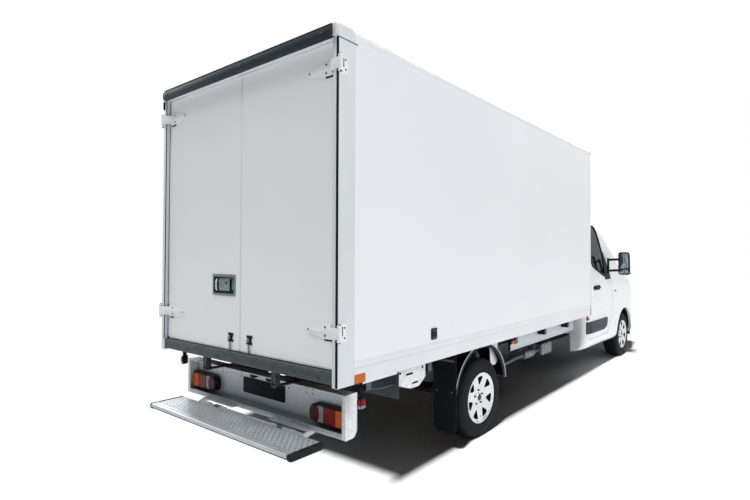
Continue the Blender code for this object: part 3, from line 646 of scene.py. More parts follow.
world = bpy.data.worlds.new("studio")
world.use_nodes = True
bpy.context.scene.world = world
nodes, links = world.node_tree.nodes, world.node_tree.links
WORLD_FILL, WORLD_IN_GLOSS = 0.009, 0.62
ray = nodes.new("ShaderNodeLightPath")
strength = None
for kind, value in (("Is Glossy Ray", WORLD_IN_GLOSS), ("Is Camera Ray", 1.0)):
    choose = nodes.new("ShaderNodeMix")
    choose.inputs[2].default_value, choose.inputs[3].default_value = WORLD_FILL, value
    if strength is not None:
        links.new(strength, choose.inputs[2])
    links.new(ray.outputs[kind], choose.inputs[0])
    strength = choose.outputs[0]
links.new(strength, nodes["Background"].inputs["Strength"])
nodes["Background"].inputs["Color"].default_value = (1.0, 1.0, 1.0, 1.0)
bpy.context.scene.view_settings.view_transform = "Standard"


def receivers(lights, state):
    """The lights stand for white walls: the floor is either left out of them or is all they light."""
    group = bpy.data.collections.new(f"floor_{state.lower()}")
    group.objects.link(studio_floor)
    group.collection_objects[0].light_linking.link_state = state
    for light in lights:
        light.light_linking.receiver_collection = group


receivers((floor_sun,), "INCLUDE")
receivers((top_light, side_light, left_light, front_light), "EXCLUDE")
print("camera", [round(v, 3) for v in camera.location], "five soft lights and a dim world")
# %% [markdown]
# ## The box
# The sides, roof and front wall are flat sandwich panels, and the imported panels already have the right
# size. They only need a finish. A flat glossy skin is what makes such a body look real, so the work goes
# into the extrusions round it: rails with grooves, a rounded roof edge and corner castings.

# %% Panels keep their CAD shape
def dress(node, finish):
    """Give a CAD node a finish without touching its mesh."""
    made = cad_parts[node]
    made.data.materials.clear()
    made.data.materials.append(finishes[finish])


for node, finish in (("side_panel_right", "side_skin"), ("side_panel_left", "side_skin"),
                     ("box_roof", "side_skin"), ("front_wall", "side_skin"), ("box_floor", "load_floor"),
                     ("rear_door_right", "door_skin"), ("rear_door_left", "door_skin"),
                     ("chassis_frame", "chassis_paint"), ("rear_axle", "chassis_paint"),
                     ("leaf_spring_right", "chassis_paint"), ("leaf_spring_left", "chassis_paint"),
                     ("knuckle_right", "chassis_paint"), ("knuckle_left", "chassis_paint"),
                     ("fuel_tank", "black_plastic")):
    dress(node, finish)

panel_low, panel_high = span("side_panel_right")
SKIN_X, FRONT_X = panel_low[0], panel_high[0]
HALF = span("cant_rail_left")[1][1]
ROOF_Z = span("box_roof")[1][2]
FLOOR_Z, UNDER_Z = span("box_floor")[1][2], span("box_floor")[0][2]
REAR_X = span("rear_frame")[0][0] + 0.012
DOOR_X = span("rear_door_right")[0][0]
DOOR_Y = span("rear_door_left")[1][1]
DOOR_LOW, DOOR_TOP = span("rear_door_left")[0][2], span("rear_door_left")[1][2]
SPLIT = (span("rear_door_right")[1][1] + span("rear_door_left")[0][1]) / 2
print("box", round(FRONT_X - REAR_X, 3), "long,", round(2 * HALF, 3), "wide, doors at", round(DOOR_X, 3))

# %% [markdown]
# The two long rails are extrusions: one outline, carried from the rear frame to the front wall. The roof
# rail has a flat, a facet and a round top. The floor rail has a dust groove and a drip lip, drawn as
# outline steps.

# %% Roof and floor rails
cant_outline = [(HALF - 0.05, 2.9345), (HALF - 0.0006, 2.9345), (HALF, 2.94), (HALF, 2.96),
                (HALF - 0.004, 2.9635), (HALF - 0.0055, 2.968), (HALF - 0.016, 2.9845),
                (HALF - 0.03, ROOF_Z), (HALF - 0.05, ROOF_Z)]
floor_outline = [(HALF - 0.05, UNDER_Z), (HALF - 0.003, UNDER_Z), (HALF, UNDER_Z + 0.003), (HALF, 0.915),
                 (HALF - 0.004, 0.919), (HALF - 0.004, 0.9295), (HALF, 0.933), (HALF, 0.956),
                 (HALF - 0.0015, 0.9598), (HALF - 0.05, 0.9598)]
for name, outline, slot in (("cant_rail", cant_outline, "white_paint"),
        ("lower_rail", floor_outline, "white_paint")):
    for side_name, side in SIDES:
        rail = plate(outline, "x", SKIN_X, FRONT_X, edge=0, corner=0.0012, corner_steps=2)
        handed(side, f"{name}_shell", rail, "edge_alloy" if name == "lower_rail" else "body_paint",
               slot=slot, replaces=[f"{name}_{side_name}"])
        # a thin joint of sealant where the rail meets the panel
        z = 2.9335 if name == "cant_rail" else 0.9606
        joint = bar((SKIN_X, FRONT_X), (HALF - 0.006, HALF - 0.0012), (z - 0.0016, z + 0.0016), 0, "x")
        handed(side, f"{name}_joint", joint, "jamb_alloy")

# %% Front corner posts, roof bows and front wall trim
for side_name, side in SIDES:
    post = plate([(FRONT_X - 0.03, HALF - 0.006), (FRONT_X - 0.03, HALF), (FRONT_X - 0.004, HALF),
                  (FRONT_X, HALF - 0.004), (FRONT_X, HALF - 0.052), (FRONT_X - 0.003, HALF - 0.052),
                  (FRONT_X - 0.003, HALF - 0.012)], "z", UNDER_Z, ROOF_Z - 0.004, edge=0.001, corner=0.002,
                 corner_steps=3)
    handed(side, "front_post", post, "edge_alloy", slot="white_paint")
front_trim = join(bar((FRONT_X - 0.003, FRONT_X), (-HALF + 0.05, HALF - 0.05), (2.935, 2.985), 0.001, "y"),
                  bar((FRONT_X - 0.003, FRONT_X), (-HALF + 0.05, HALF - 0.05), (UNDER_Z, 0.905), 0.001,
                      "y"))
piece("front_wall_trim", front_trim, "edge_alloy", slot="white_paint")
seams = join(*[bar((x - 0.012, x + 0.012), (-HALF + 0.06, HALF - 0.06), (ROOF_Z - 0.0008, ROOF_Z - 0.00001),
                   0.0003, "y") for x in np.linspace(SKIN_X + 0.6, FRONT_X - 0.6, 4)])
piece("roof_seams", seams, "jamb_alloy")

# %% [markdown]
# ## The rear frame
# Two posts and a header carry the doors. The doors sit 28 mm inside the posts, so the post's inner face
# shows as a grey recess, with a dark rubber line along it. Castings cap the top corners.

# %% Posts, seals and corner castings
CAP_LOW = 2.905
for side_name, side in SIDES:
    post = plate([(REAR_X, DOOR_Y + 0.0008), (REAR_X, HALF), (SKIN_X - 0.0006, HALF),
                  (SKIN_X - 0.0006, DOOR_Y + 0.0008)], "z", UNDER_Z, 2.955, edge=0.001,
                 corner=[0.003, 0.006, 0.001, 0.001])
    header_back = bar((REAR_X, SKIN_X - 0.001), (0, HALF - 0.03), (2.9033, ROOF_Z - 0.0002), 0.001, "y")
    handed(side, "rear_post", join(post, header_back), "post_paint", slot="white_panel",
           replaces=["rear_frame"] if side < 0 else ())
    recess = bar((REAR_X + 0.001, DOOR_X - 0.001), (DOOR_Y - 0.0004, DOOR_Y + 0.0006),
                 (FLOOR_Z + 0.003, 2.903), 0, "z")
    handed(side, "jamb_recess", recess, "jamb_alloy")
    lip = tube([(REAR_X + 0.0005, DOOR_Y + 0.002, z) for z in (FLOOR_Z, 2.0, 2.903)], 0.0035, 8, up=(1, 0, 0))
    inner = tube([(DOOR_X - 0.001, DOOR_Y - 0.002, z) for z in (FLOOR_Z, 2.0, 2.899)], 0.003, 8, up=(1, 0, 0))
    # on the right only, a dark strip along the rounded outer rear corner of the post
    corner_dark_strip = plate([(REAR_X - 0.004, HALF - 0.017), (REAR_X - 0.004, HALF - 0.001),
            (REAR_X + 0.002, HALF + 0.0006), (REAR_X + 0.002, HALF - 0.019)], "z", UNDER_Z + 0.004, CAP_LOW,
                        edge=0.001, corner=0.002)
    strips = join(lip, inner) if side > 0 else corner_dark_strip
    handed(side, "post_dark_strips", strips, "seal_rubber")
    side_joint = bar((SKIN_X - 0.0035, SKIN_X + 0.0005), (HALF - 0.002, HALF + 0.0006), (UNDER_Z, 2.95),
                     0.0003, "z")
    handed(side, "post_joint", side_joint, "jamb_alloy")
    cap = pillow((REAR_X - 0.012, SKIN_X - 0.001), (1.0015, HALF + 0.006), (CAP_LOW, ROOF_Z - 0.0005),
                 0.024, 6)
    handed(side, "corner_cap", cap, "post_paint", slot="white_paint")
    ring = plate([(1.0, CAP_LOW + 0.004), (HALF - 0.004, CAP_LOW + 0.004), (HALF - 0.004, ROOF_Z - 0.006),
                  (1.0, ROOF_Z - 0.006)], "x", REAR_X - 0.0145, REAR_X - 0.006, edge=0.0012, corner=0.016)
    handed(side, "cap_face", ring, "jamb_alloy")
    # a dark strip on the side just under the proud cap: a painted shadow of the cap
    shadow = bar((REAR_X + 0.004, SKIN_X + 0.02), (HALF - 0.004, HALF + 0.0008),
                 (CAP_LOW - 0.006, CAP_LOW - 0.0005), 0.0005, "x")
    handed(side, "cap_painted_shadow", shadow, "seal_rubber")

# %% [markdown]
# The header is a dark alloy extrusion with a curved face, a ridge along its top and three small marker
# lamps.

# %% Header bar and marker lamps
header_outline = through([(REAR_X - 0.001, 2.906), (-1.786, 2.909), (-1.7935, 2.922), (-1.7955, 2.94),
        (-1.7925, 2.958), (-1.787, 2.9715), (-1.784, 2.9745), (-1.783, 2.98), (-1.7765, 2.9845),
        (REAR_X - 0.001, 2.986)], 4)
piece("header_shell", plate(header_outline, "y", -1.042, 1.042, edge=0.002, steps=3), "slate_alloy",
      slot="slate", replaces=["header_bar"])
ridge = tube([(-1.7838, y, 2.9775) for y in (-1.038, 0.0, 1.038)], 0.0022, 8)
piece("header_ridge", ridge, "slate_alloy")
top_strip = bar((-1.782, REAR_X), (-1.036, 1.036), (2.9845, 2.9885), 0.001, "y")
piece("header_top_strip", top_strip, "seal_rubber")
lamps, bodies = [], []
for y in (-0.975, -0.1, 0.975):
    lamps.append(pillow((-1.7965, -1.785), (y - 0.026, y + 0.026), (2.933, 2.95), 0.006, 3))
    bodies.append(pillow((-1.7958, -1.78), (y - 0.033, y + 0.033), (2.928, 2.955), 0.006, 3))
piece("marker_lamp_bodies", join(*bodies), "black_plastic")
piece("marker_lamp_lenses", join(*lamps), "lens_deep_red", slot="lamp_red")
wrap = plate([(-1.7962, 2.832), (REAR_X + 0.01, 2.832), (REAR_X + 0.01, 2.905), (-1.7962, 2.905)], "y",
             1.062, 1.0845, edge=0.002, corner=[0.02, 0.002, 0.002, 0.004])
piece("header_wrap_left", shift(wrap, x=0.024), "seal_rubber")

# %% [markdown]
# ## Rear doors
# Each door is a flat panel in a thin alloy edge. The edge is what catches light along the bottom and
# beside the hinges. A rubber strip closes the gap between the two doors and rides on the right one.

# %% Door edges and centre seal
for side_name, side in SIDES:
    low_y, high_y = (SPLIT + 0.002, DOOR_Y) if side > 0 else (-DOOR_Y, SPLIT - 0.002)
    face = DOOR_X - 0.0012
    strips = [bar((face, DOOR_X + 0.002), (low_y, high_y), (DOOR_LOW, DOOR_LOW + 0.016), 0.0004, "y")]
    outer = (high_y - 0.026, high_y) if side > 0 else (low_y, low_y + 0.026)
    inner = (low_y, low_y + 0.007) if side > 0 else (high_y - 0.007, high_y)
    strips += [bar((face, DOOR_X + 0.002), pair, (DOOR_LOW, DOOR_TOP), 0.0004, "z") for pair in (outer,
            inner)]
    piece(f"door_edge_{side_name}", join(*strips), "edge_alloy", f"rear_door_{side_name}", "door_panel")
seal = join(bar((DOOR_X - 0.0022, DOOR_X + 0.001), (SPLIT - 0.0055, SPLIT + 0.0035),
                (DOOR_LOW + 0.002, DOOR_TOP - 0.002), 0.001, "z"),
            bar((DOOR_X, DOOR_X + 0.026), (SPLIT - 0.0018, SPLIT + 0.0014),
                (DOOR_LOW + 0.002, DOOR_TOP - 0.002), 0, "z"))
piece("door_centre_seal", seal, "jamb_alloy", "rear_door_right")

# %% [markdown]
# Four strap hinges hang the doors. A strap is a tapered plate bolted to the door. It steps out over the
# post on a folded bridge and ends in a barrel between two knuckles on the post's corner.

# %% Hinges
HINGES = (("lower", 1.148), ("upper", 2.745))
PIN_X, PIN_Y = -1.764, 1.1
for side_name, side in SIDES:
    door = f"rear_door_{side_name}"
    for level, z in HINGES:
        leaf = plate([(0.768, z - 0.013), (0.93, z - 0.046), (0.996, z - 0.047), (0.996, z + 0.047),
                      (0.93, z + 0.046), (0.768, z + 0.013)], "x", DOOR_X - 0.0062, DOOR_X - 0.0005,
                     edge=0.0018, corner=[0.01, 0.02, 0.004, 0.004, 0.02, 0.01])
        rib = plate([(0.8, z - 0.006), (0.975, z - 0.014), (0.975, z + 0.014), (0.8, z + 0.006)], "x",
                    DOOR_X - 0.0088, DOOR_X - 0.004, edge=0.0018, corner=0.006)
        # the folded bridge: a strip 6 mm thick that follows a path in plan
        path = through([(DOOR_X - 0.0032, 0.972), (DOOR_X - 0.0034, 0.99), (DOOR_X - 0.016, 1.003),
                        (DOOR_X - 0.03, 1.017), (DOOR_X - 0.0345, 1.034), (DOOR_X - 0.0345, 1.07),
                        (DOOR_X - 0.0345, 1.1)], 4)
        ahead = np.gradient(path, axis=0)
        ahead /= np.linalg.norm(ahead, axis=1, keepdims=True)
        out = np.stack([-ahead[:, 1], ahead[:, 0]], 1) * 0.0028
        strip = np.concatenate([path + out, (path - out)[::-1]])
        bridge = plate(strip, "z", z - 0.034, z + 0.034, edge=0.001)
        barrel = turned([(0, -0.035), (0.0115, -0.035), (0.013, -0.0335), (0.013, 0.0335), (0.0115, 0.035),
                (0, 0.035)], (PIN_X, PIN_Y, z), "z", 20)
        handed(side, f"hinge_leaf_{level}", join(leaf, rib, bridge, barrel), "door_skin", door,
               "white_paint", replaces=[f"hinge_strap_{level}_{side_name}"])
        bolts = join(bolt((DOOR_X - 0.006, 0.943, z + 0.026)), bolt((DOOR_X - 0.006, 0.943, z - 0.026)),
                     bolt((DOOR_X - 0.006, 0.786, z), head=0.007))
        handed(side, f"hinge_bolts_{level}", bolts, "bolt_steel", door)
        knuckles, slots = [], []
        for low, high in ((z - 0.05, z - 0.0355), (z + 0.0355, z + 0.05)):
            knuckles.append(turned([(0, low), (0.0118, low), (0.013, low + 0.0015), (0.013, high - 0.0015),
                    (0.0118, high), (0, high)], (PIN_X, PIN_Y, 0), "z", 20))
            knuckles.append(bar((-1.771, -1.741), (HALF - 0.001, PIN_Y - 0.006), (low, high), 0.0015, "z"))
        knuckles.append(bar((-1.748, -1.7), (HALF - 0.001, HALF + 0.0045), (z - 0.05, z + 0.05), 0.0015, "y"))
        pin = turned([(0, z - 0.056), (0.006, z - 0.056), (0.0075, z - 0.053), (0.0075, z - 0.05),
                      (0.004, z - 0.049), (0.004, z + 0.05), (0.0075, z + 0.05), (0.0075, z + 0.053),
                      (0.006, z + 0.056), (0, z + 0.056)], (PIN_X, PIN_Y, 0), "z", 14)
        handed(side, f"hinge_knuckle_{level}", join(*knuckles), "body_paint", slot="white_paint")
        handed(side, f"hinge_pin_{level}", pin, "bolt_steel")
        # a dark pad for the slot in the hinge's side plate: painted shade inside the slot
        slot_pad_shade = pillow((-1.7365, -1.7265), (HALF + 0.0035, HALF + 0.005), (z - 0.018, z + 0.04), 0.004,
                3)
        fixings = join(bolt((-1.715, HALF + 0.0045, z + 0.03), "y", 1, 0.006, 0.003),
                       bolt((-1.715, HALF + 0.0045, z - 0.03), "y", 1, 0.006, 0.003))
        handed(side, f"hinge_slot_{level}", join(slot_pad_shade, fixings), "lock_black")
        # a black strip on the door just below each leaf: a painted shadow under the hinge
        leaf_shadow = plate([(0.936, z - 0.058), (1.0, z - 0.058), (1.0, z - 0.044), (0.93, z - 0.044)], "x",
                       DOOR_X - 0.0022, DOOR_X - 0.0004, edge=0.0005, corner=0.004)
        handed(side, f"hinge_gasket_{level}", leaf_shadow, "lock_black", door)

# %% [markdown]
# ## Lock and bottom latches
# The lock is a pressed metal frame let into the left door, with a sunk tray, a grip on the left and a
# paddle that turns about its top edge. Each door also has a drop bolt in a black bracket at its foot.

# %% Lock
lock_low, lock_high = span("lock_bezel")
y0, y1, z0, z1 = lock_low[1], lock_high[1], lock_low[2], lock_high[2]


def framed(outer, inner, low, high, crown, corner=0.012):
    """A ring between two rounded rectangles with a crowned face: four loops, joined back on themselves."""
    def loop(pad, x):
        u0, u1, v0, v1 = (a + b * pad for a, b in zip(outer, (inner[0] - outer[0], inner[1] - outer[1],
                inner[2] - outer[2], inner[3] - outer[3])))
        flat = rounded([(u0, v0), (u1, v0), (u1, v1), (u0, v1)], corner, 5)
        return to_space(flat, x, "x")
    sections = [loop(0.0, high), loop(0.0, low + crown), loop(0.25, low), loop(0.75, low),
                loop(1.0, low + crown), loop(1.0, high)]
    return loft(np.stack(sections), caps=False, closed=True)


bezel = framed((y0, y1, z0, z1), (y0 + 0.022, y1 - 0.022, z0 + 0.022, z1 - 0.022), DOOR_X - 0.0052,
               DOOR_X + 0.002, 0.0018)
tray_back = bar((DOOR_X + 0.0165, DOOR_X + 0.02), (y0 + 0.016, y1 - 0.016), (z0 + 0.016, z1 - 0.016), 0.001,
                "x")
tray_walls = framed((y0 + 0.017, y1 - 0.017, z0 + 0.017, z1 - 0.017),
                    (y0 + 0.021, y1 - 0.021, z0 + 0.021, z1 - 0.021), DOOR_X - 0.001, DOOR_X + 0.0175,
                    0.0005)
piece("lock_frame", join(bezel, tray_walls, tray_back), "lock_metal", "rear_door_left", "lock_metal",
      replaces=["lock_bezel"])
groove = framed((y0 + 0.0175, y1 - 0.0175, z0 + 0.0175, z1 - 0.0175),
                (y0 + 0.0215, y1 - 0.0215, z0 + 0.0215, z1 - 0.0215), DOOR_X - 0.0058, DOOR_X - 0.003,
                0.0006, 0.009)
# dark bars along the tray's bottom and behind the grip: painted shade in the sunk tray
shade_bar = join(bar((DOOR_X + 0.004, DOOR_X + 0.0164), (y0 + 0.024, y1 - 0.024), (z0 + 0.0225, z0 + 0.04),
                     0.001, "y"), bar((DOOR_X + 0.004, DOOR_X + 0.0164), (y1 - 0.075, y1 - 0.023),
        (z0 + 0.023, z1 - 0.023), 0.001, "z"))
piece("lock_groove_and_shade", join(groove, shade_bar), "lock_black", "rear_door_left")
grip = tube(through([(DOOR_X + 0.012, y1 - 0.052, z0 + 0.034), (DOOR_X + 0.0, y1 - 0.05, z0 + 0.044),
                     (DOOR_X - 0.002, y1 - 0.048, (z0 + z1) / 2), (DOOR_X + 0.0, y1 - 0.05, z1 - 0.044),
                     (DOOR_X + 0.012, y1 - 0.052, z1 - 0.034)], 5), 0.0065, 12, up=(0, 1, 0))
piece("lock_grip_bar", grip, "edge_alloy", "rear_door_left")
paddle_low, paddle_high = span("lock_handle")


def paddle_surface(y_low, y_high, z_low, z_high, x_face, thick, columns=18, rows=12):
    """A dished plate: the face falls away by the fourth power towards its rim, with a swelling."""
    u, v = np.meshgrid(np.linspace(-1, 1, columns), np.linspace(-1, 1, rows))
    swelling = 0.0012 * np.exp(-((u - 0.35) ** 2 + (v - 0.2) ** 2) * 9)
    face = x_face + thick * (0.45 * u ** 4 + 0.35 * v ** 4) + swelling
    y, z = (y_low + y_high) / 2 + (y_high - y_low) / 2 * u, (z_low + z_high) / 2 + (z_high - z_low) / 2 * v
    front = np.stack([face, y, z], -1).reshape(-1, 3)
    back = front * (0, 1, 1) + (x_face + thick, 0, 0)
    n = rows * columns
    rim = np.concatenate([np.arange(columns), np.arange(1, rows) * columns + columns - 1,
            (rows - 1) * columns + np.arange(columns - 2, -1, -1), np.arange(rows - 2, 0, -1) * columns])
    faces = grid_faces(rows, columns, False)
    faces += [[c + n for c in face][::-1] for face in grid_faces(rows, columns, False)]
    faces += np.stack([rim, rim + n, np.roll(rim, -1) + n, np.roll(rim, -1)], 1).tolist()
    return np.concatenate([front, back]), faces


paddle = paddle_surface(paddle_low[1] + 0.002, paddle_high[1] - 0.045, paddle_low[2] + 0.002,
                        paddle_high[2], DOOR_X - 0.0025, 0.008)
piece("lock_paddle", paddle, "lock_metal", "lock_handle", "lock_metal", replaces=["lock_handle"])
key_face = turned([(0, -0.0042), (0.007, -0.0042), (0.009, -0.003), (0.01, -0.0005), (0.01, 0.003),
                   (0, 0.003)], (DOOR_X - 0.0006, 0.15, 1.405), "x", 20)
# the keyway is a dark bar on the key face: painted shade inside the slot
key_slot = join(key_face, bar((DOOR_X - 0.0056, DOOR_X - 0.004), (0.148, 0.152), (1.399, 1.411), 0.0004, "x"))
piece("lock_key_hole", key_slot, "lock_black", "lock_handle")
corner_screws = join(*[bolt((DOOR_X - 0.005, y, z), head=0.0045, height=0.0014) for y in (y0 + 0.01,
        y1 - 0.01) for z in (z0 + 0.01, z1 - 0.01)])
piece("lock_screws", corner_screws, "bolt_steel", "rear_door_left")

# %% Drop bolts at the foot of each door
for side_name, y in (("right", -0.15), ("left", 0.085)):
    door = f"rear_door_{side_name}"
    base = plate([(y - 0.033, 0.982), (y + 0.033, 0.982), (y + 0.033, 1.0), (y + 0.022, 1.0),
                  (y + 0.022, 1.026), (y + 0.033, 1.026), (y + 0.033, 1.046), (y - 0.033, 1.046),
                  (y - 0.033, 1.026), (y - 0.022, 1.026), (y - 0.022, 1.0), (y - 0.033, 1.0)], "x",
                 DOOR_X - 0.0042, DOOR_X - 0.0004, edge=0.001, corner=0.002, corner_steps=2)
    guides = join(*[bar((DOOR_X - 0.019, DOOR_X - 0.004), (y - 0.014, y + 0.014), (z, z + 0.01), 0.0015,
                        "y") for z in (0.9885,)])
    ears = join(*[bolt((DOOR_X - 0.0042, y + dy, z), head=0.0042, height=0.002) for dy in (-0.027,
            0.027) for z in (0.991, 1.037)])
    piece(f"latch_bracket_{side_name}", join(base, guides, ears), "lock_black", door)
    rod = turned([(0, 0.924), (0.0085, 0.9245), (0.0085, 0.937), (0.0045, 0.94), (0.0045, 0.997),
                  (0.0045, 1.029), (0.003, 1.03), (0, 1.03)], (-1.7455, y, 0), "z", 14)
    knob = pillow((-1.7555, -1.7405), (y - 0.011, y + 0.011), (1.001, 1.023), 0.004, 3)
    piece(f"latch_rod_{side_name}", join(rod, knob), "lock_metal", f"latch_{side_name}", "lock_metal",
          replaces=[f"latch_{side_name}"])
# %% [markdown]
# ## Sill, hangers and bumper
# Under the doors runs a pressed sill, dark and rough with splashed grit. Two hangers reach down from it
# to the bumper, which is a zinc channel open to the rear. An extrusion along y gives the channel; end
# plates close it.

# %% Sill and hangers
sill_low, sill_high = span("rear_sill")
sill = plate([(sill_low[0], 0.839), (-1.7004, 0.837), (-1.7004, 0.915), (sill_low[0] + 0.004, 0.915),
              (sill_low[0], 0.911), (sill_low[0], 0.889), (sill_low[0] + 0.003, 0.886),
              (sill_low[0] + 0.003, 0.85), (sill_low[0], 0.847)], "y", sill_low[1], sill_high[1],
             edge=0.001, corner=0.0015, corner_steps=2)
hangers, hanger_bolts = [], []
for y in (-0.4325, 0.4325):
    side_cheeks = [plate([(-1.742, 0.7305), (-1.708, 0.7305), (-1.702, 0.76), (-1.702, 0.84),
            (-1.742, 0.84)], "y", y + dy - 0.003, y + dy + 0.003, edge=0.0008,
            corner=0.004) for dy in (-0.0195, 0.0195)]
    web = bar((-1.7385, -1.7325), (y - 0.0215, y + 0.0215), (0.735, 0.845), 0.001, "y")
    foot = plate([(-1.742, y - 0.0225), (-1.532, y - 0.0225), (-1.532, y + 0.0225), (-1.742, y + 0.0225)],
                 "z", 0.7305, 0.7405, edge=0.001, corner=0.006)
    hangers += side_cheeks + [web, foot]
    hanger_bolts += [bolt((-1.7415, y + dy, 0.752), head=0.009, height=0.0045) for dy in (-0.01, 0.01)]
    hanger_bolts += [turned([(0, 0.749), (0.006, 0.749), (0.009, 0.747), (0.009, 0.74), (0, 0.74)],
            (x, y, 0), "z", 6) for x in (-1.69, -1.6)]
piece("rear_sill_pressing", join(sill, *hangers), "sill_green", slot="sill_green", replaces=["rear_sill"])
piece("hanger_bolts", join(*hanger_bolts), "lock_black")
# dark pads for the drain slots in the sill: painted shade inside the slots
drain = join(*[pillow((sill_low[0] - 0.0004, sill_low[0] + 0.004), (y - 0.01, y + 0.01), (0.864, 0.87),
                      0.003, 3) for y in np.linspace(-0.9, 0.9, 9)])
piece("sill_drain_slot_shade", drain, "lock_black")

# %% Bumper channel
LIP, WEB = -1.595, -1.52
channel = [(LIP, 0.7296), (LIP + 0.001, 0.7305), (-1.5055, 0.7305), (-1.5045, 0.7295), (-1.5045, 0.451),
           (-1.506, 0.4495), (LIP + 0.001, 0.4495), (LIP, 0.451), (LIP, 0.4843), (LIP + 0.002, 0.4857),
           (-1.5875, 0.4857), (-1.5865, 0.484), (-1.581, 0.4612), (WEB - 0.001, 0.477), (WEB, 0.479),
           (WEB, 0.7205), (WEB - 0.0015, 0.7222), (LIP + 0.001, 0.7222), (LIP, 0.7232)]
piece("bumper_channel", plate(channel, "y", -0.9595, 0.9595, edge=0, corner=0.001, corner_steps=2),
      "bumper_zinc", slot="galvanised", replaces=["rear_bumper"])
end_outline = [(LIP - 0.002, 0.7315), (-1.497, 0.7315), (-1.497, 0.484), (-1.529, 0.4485),
               (LIP - 0.002, 0.4485)]
for side_name, side in SIDES:
    end = plate(end_outline, "y", 0.9595, 0.9685, edge=0.0016, corner=[0.006, 0.006, 0.012, 0.012, 0.004])
    flange = bar((LIP - 0.001, LIP + 0.002), (0.935, 0.961), (0.452, 0.729), 0.0008, "z")
    handed(side, "bumper_end", join(end, flange), "plate_white", slot="white_paint")
rivets = [bolt((WEB, y, z), head=0.0065, height=0.003) for y in (-0.56, -0.5, 0.5, 0.56, 0.3,
        -0.3) for z in (0.66, 0.69)]
rivets += [bolt((WEB, s * 0.548, z), head=0.0045, height=0.002) for s in (-1, 1) for z in (0.54, 0.56, 0.58)]
rivets += [bolt((LIP, y, 0.468), head=0.005, height=0.002) for y in np.linspace(-0.9, 0.9, 13)]
piece("bumper_rivets", join(*rivets), "bolt_steel")
lug = [(-1.669, 0.424), (-1.655, 0.4165), (-1.64, 0.418), (-1.52, 0.4405), (-1.5155, 0.456), (-1.63, 0.456),
       (-1.669, 0.446)]
lugs = join(*[sided(plate(lug, "y", 0.6405, 0.6515, edge=0.001, corner=0.008), side) for _, side in SIDES])
piece("step_lugs", lugs, "bumper_zinc", slot="galvanised")

# %% [markdown]
# ## Number plate and tail lamps
# The plate is a black blank with a raised rim: no lettering. Each tail lamp is one long housing with a
# rounded inner end, its face split into round red, clear, long red and amber lenses.

# %% Blank plate and its lamps
number_blank = plate([(-0.26, 0.546), (0.26, 0.546), (0.26, 0.664), (-0.26, 0.664)], "x", WEB - 0.0068,
                     WEB - 0.0005, edge=0.0018, corner=0.012)
rim = framed((-0.2575, 0.2575, 0.5485, 0.6615), (-0.2505, 0.2505, 0.5555, 0.6545), WEB - 0.0082,
             WEB - 0.005, 0.0005)
piece("number_blank", join(number_blank, rim), "seal_rubber")
ribs = join(*[bar((WEB - 0.0074, WEB - 0.006), (-0.235, 0.235), (z, z + 0.0016), 0.0003,
                  "y") for z in np.linspace(0.566, 0.64, 5)])
piece("number_blank_ribs", ribs, "lock_black")
plate_lamps = []
for y in (-0.1, 0.1):
    plate_lamps += [pillow((WEB - 0.036, WEB - 0.001), (y - 0.03, y + 0.03), (0.684, 0.712), 0.008, 4),
                    pillow((WEB - 0.034, WEB - 0.008), (y - 0.022, y + 0.022), (0.68, 0.69), 0.004, 3)]
piece("plate_lamps", join(*plate_lamps), "black_plastic")

# %% Tail lamps
L0, L1, LZ0, LZ1 = 0.5855, 0.9445, 0.4985, 0.6215


def stadium(y0, y1, z0, z1, inner_round, outer_round):
    """A lamp face: big radii at its inner end, small ones at its outer end."""
    return rounded([(y0, z0), (y1, z0), (y1, z1), (y0, z1)],
                   [inner_round, outer_round, outer_round, inner_round], 8)


for side_name, side in SIDES:
    mid = (LZ0 + LZ1) / 2
    body = plate(stadium(L0, L1, LZ0, LZ1, 0.06, 0.012), "x", -1.566, WEB - 0.0006, edge=0.004, steps=3)
    handed(side, "lamp_housing", body, "black_plastic", replaces=[f"tail_lamp_{side_name}"])
    face = -1.5735
    zones = (("lens_deep_red", L0 + 0.006, L0 + 0.104, 0.05, 0.046),
             ("lens_clear", L0 + 0.062, L0 + 0.142, 0.045, 0.01),
             ("lens_red", L0 + 0.145, L0 + 0.258, 0.008, 0.008),
             ("lens_amber", L0 + 0.261, L1 - 0.006, 0.006, 0.012))
    for number, (glass, y0, y1, inner_round, outer_round) in enumerate(zones):
        lens_shape = plate(stadium(y0, y1, LZ0 + 0.008, LZ1 - 0.008, inner_round, outer_round), "x",
                face + 0.002 * (number == 1), -1.562, edge=0.004, steps=3)
        handed(side, f"tail_lens_{number}", lens_shape, glass,
               slot="lamp_clear" if glass == "lens_clear" else "lamp_red")
    screws = join(*[bolt((face + 0.001, y, mid), head=0.004, height=0.0014) for y in (L0 + 0.1215,
            L1 - 0.01)])
    handed(side, "tail_lamp_screws", screws, "bolt_steel")

# %% [markdown]
# ## Folding step
# The tread is a pressed alloy plank: a field of cells, every second one punched through and the rest
# raised to a nub for grip. Both kinds are a template of a few faces, and `repeat` lays them out, so the
# holes are real.

# %% Punched tread
TREAD_TOP, TREAD_LOW = 0.45, 0.419
FIELD_X, FIELD_Y = (-1.886, -1.702), (-0.843, 0.843)
ROWS, COLUMNS = 8, 72
PITCH_X, PITCH_Y = (FIELD_X[1] - FIELD_X[0]) / ROWS, (FIELD_Y[1] - FIELD_Y[0]) / COLUMNS


def cell(rings):
    """A square rim of eight points, joined to octagons of the given radius and height."""
    turn = np.arange(8) * math.pi / 4
    square = np.stack([np.sign(np.cos(turn).round(6)) * PITCH_X / 2,
                       np.sign(np.sin(turn).round(6)) * PITCH_Y / 2, turn * 0 + TREAD_TOP], 1)
    loops = [square] + [np.stack([r * np.cos(turn), r * np.sin(turn), turn * 0 + z], 1) for r, z in rings]
    points = np.concatenate(loops)
    faces = grid_faces(len(loops), 8)
    return points, faces


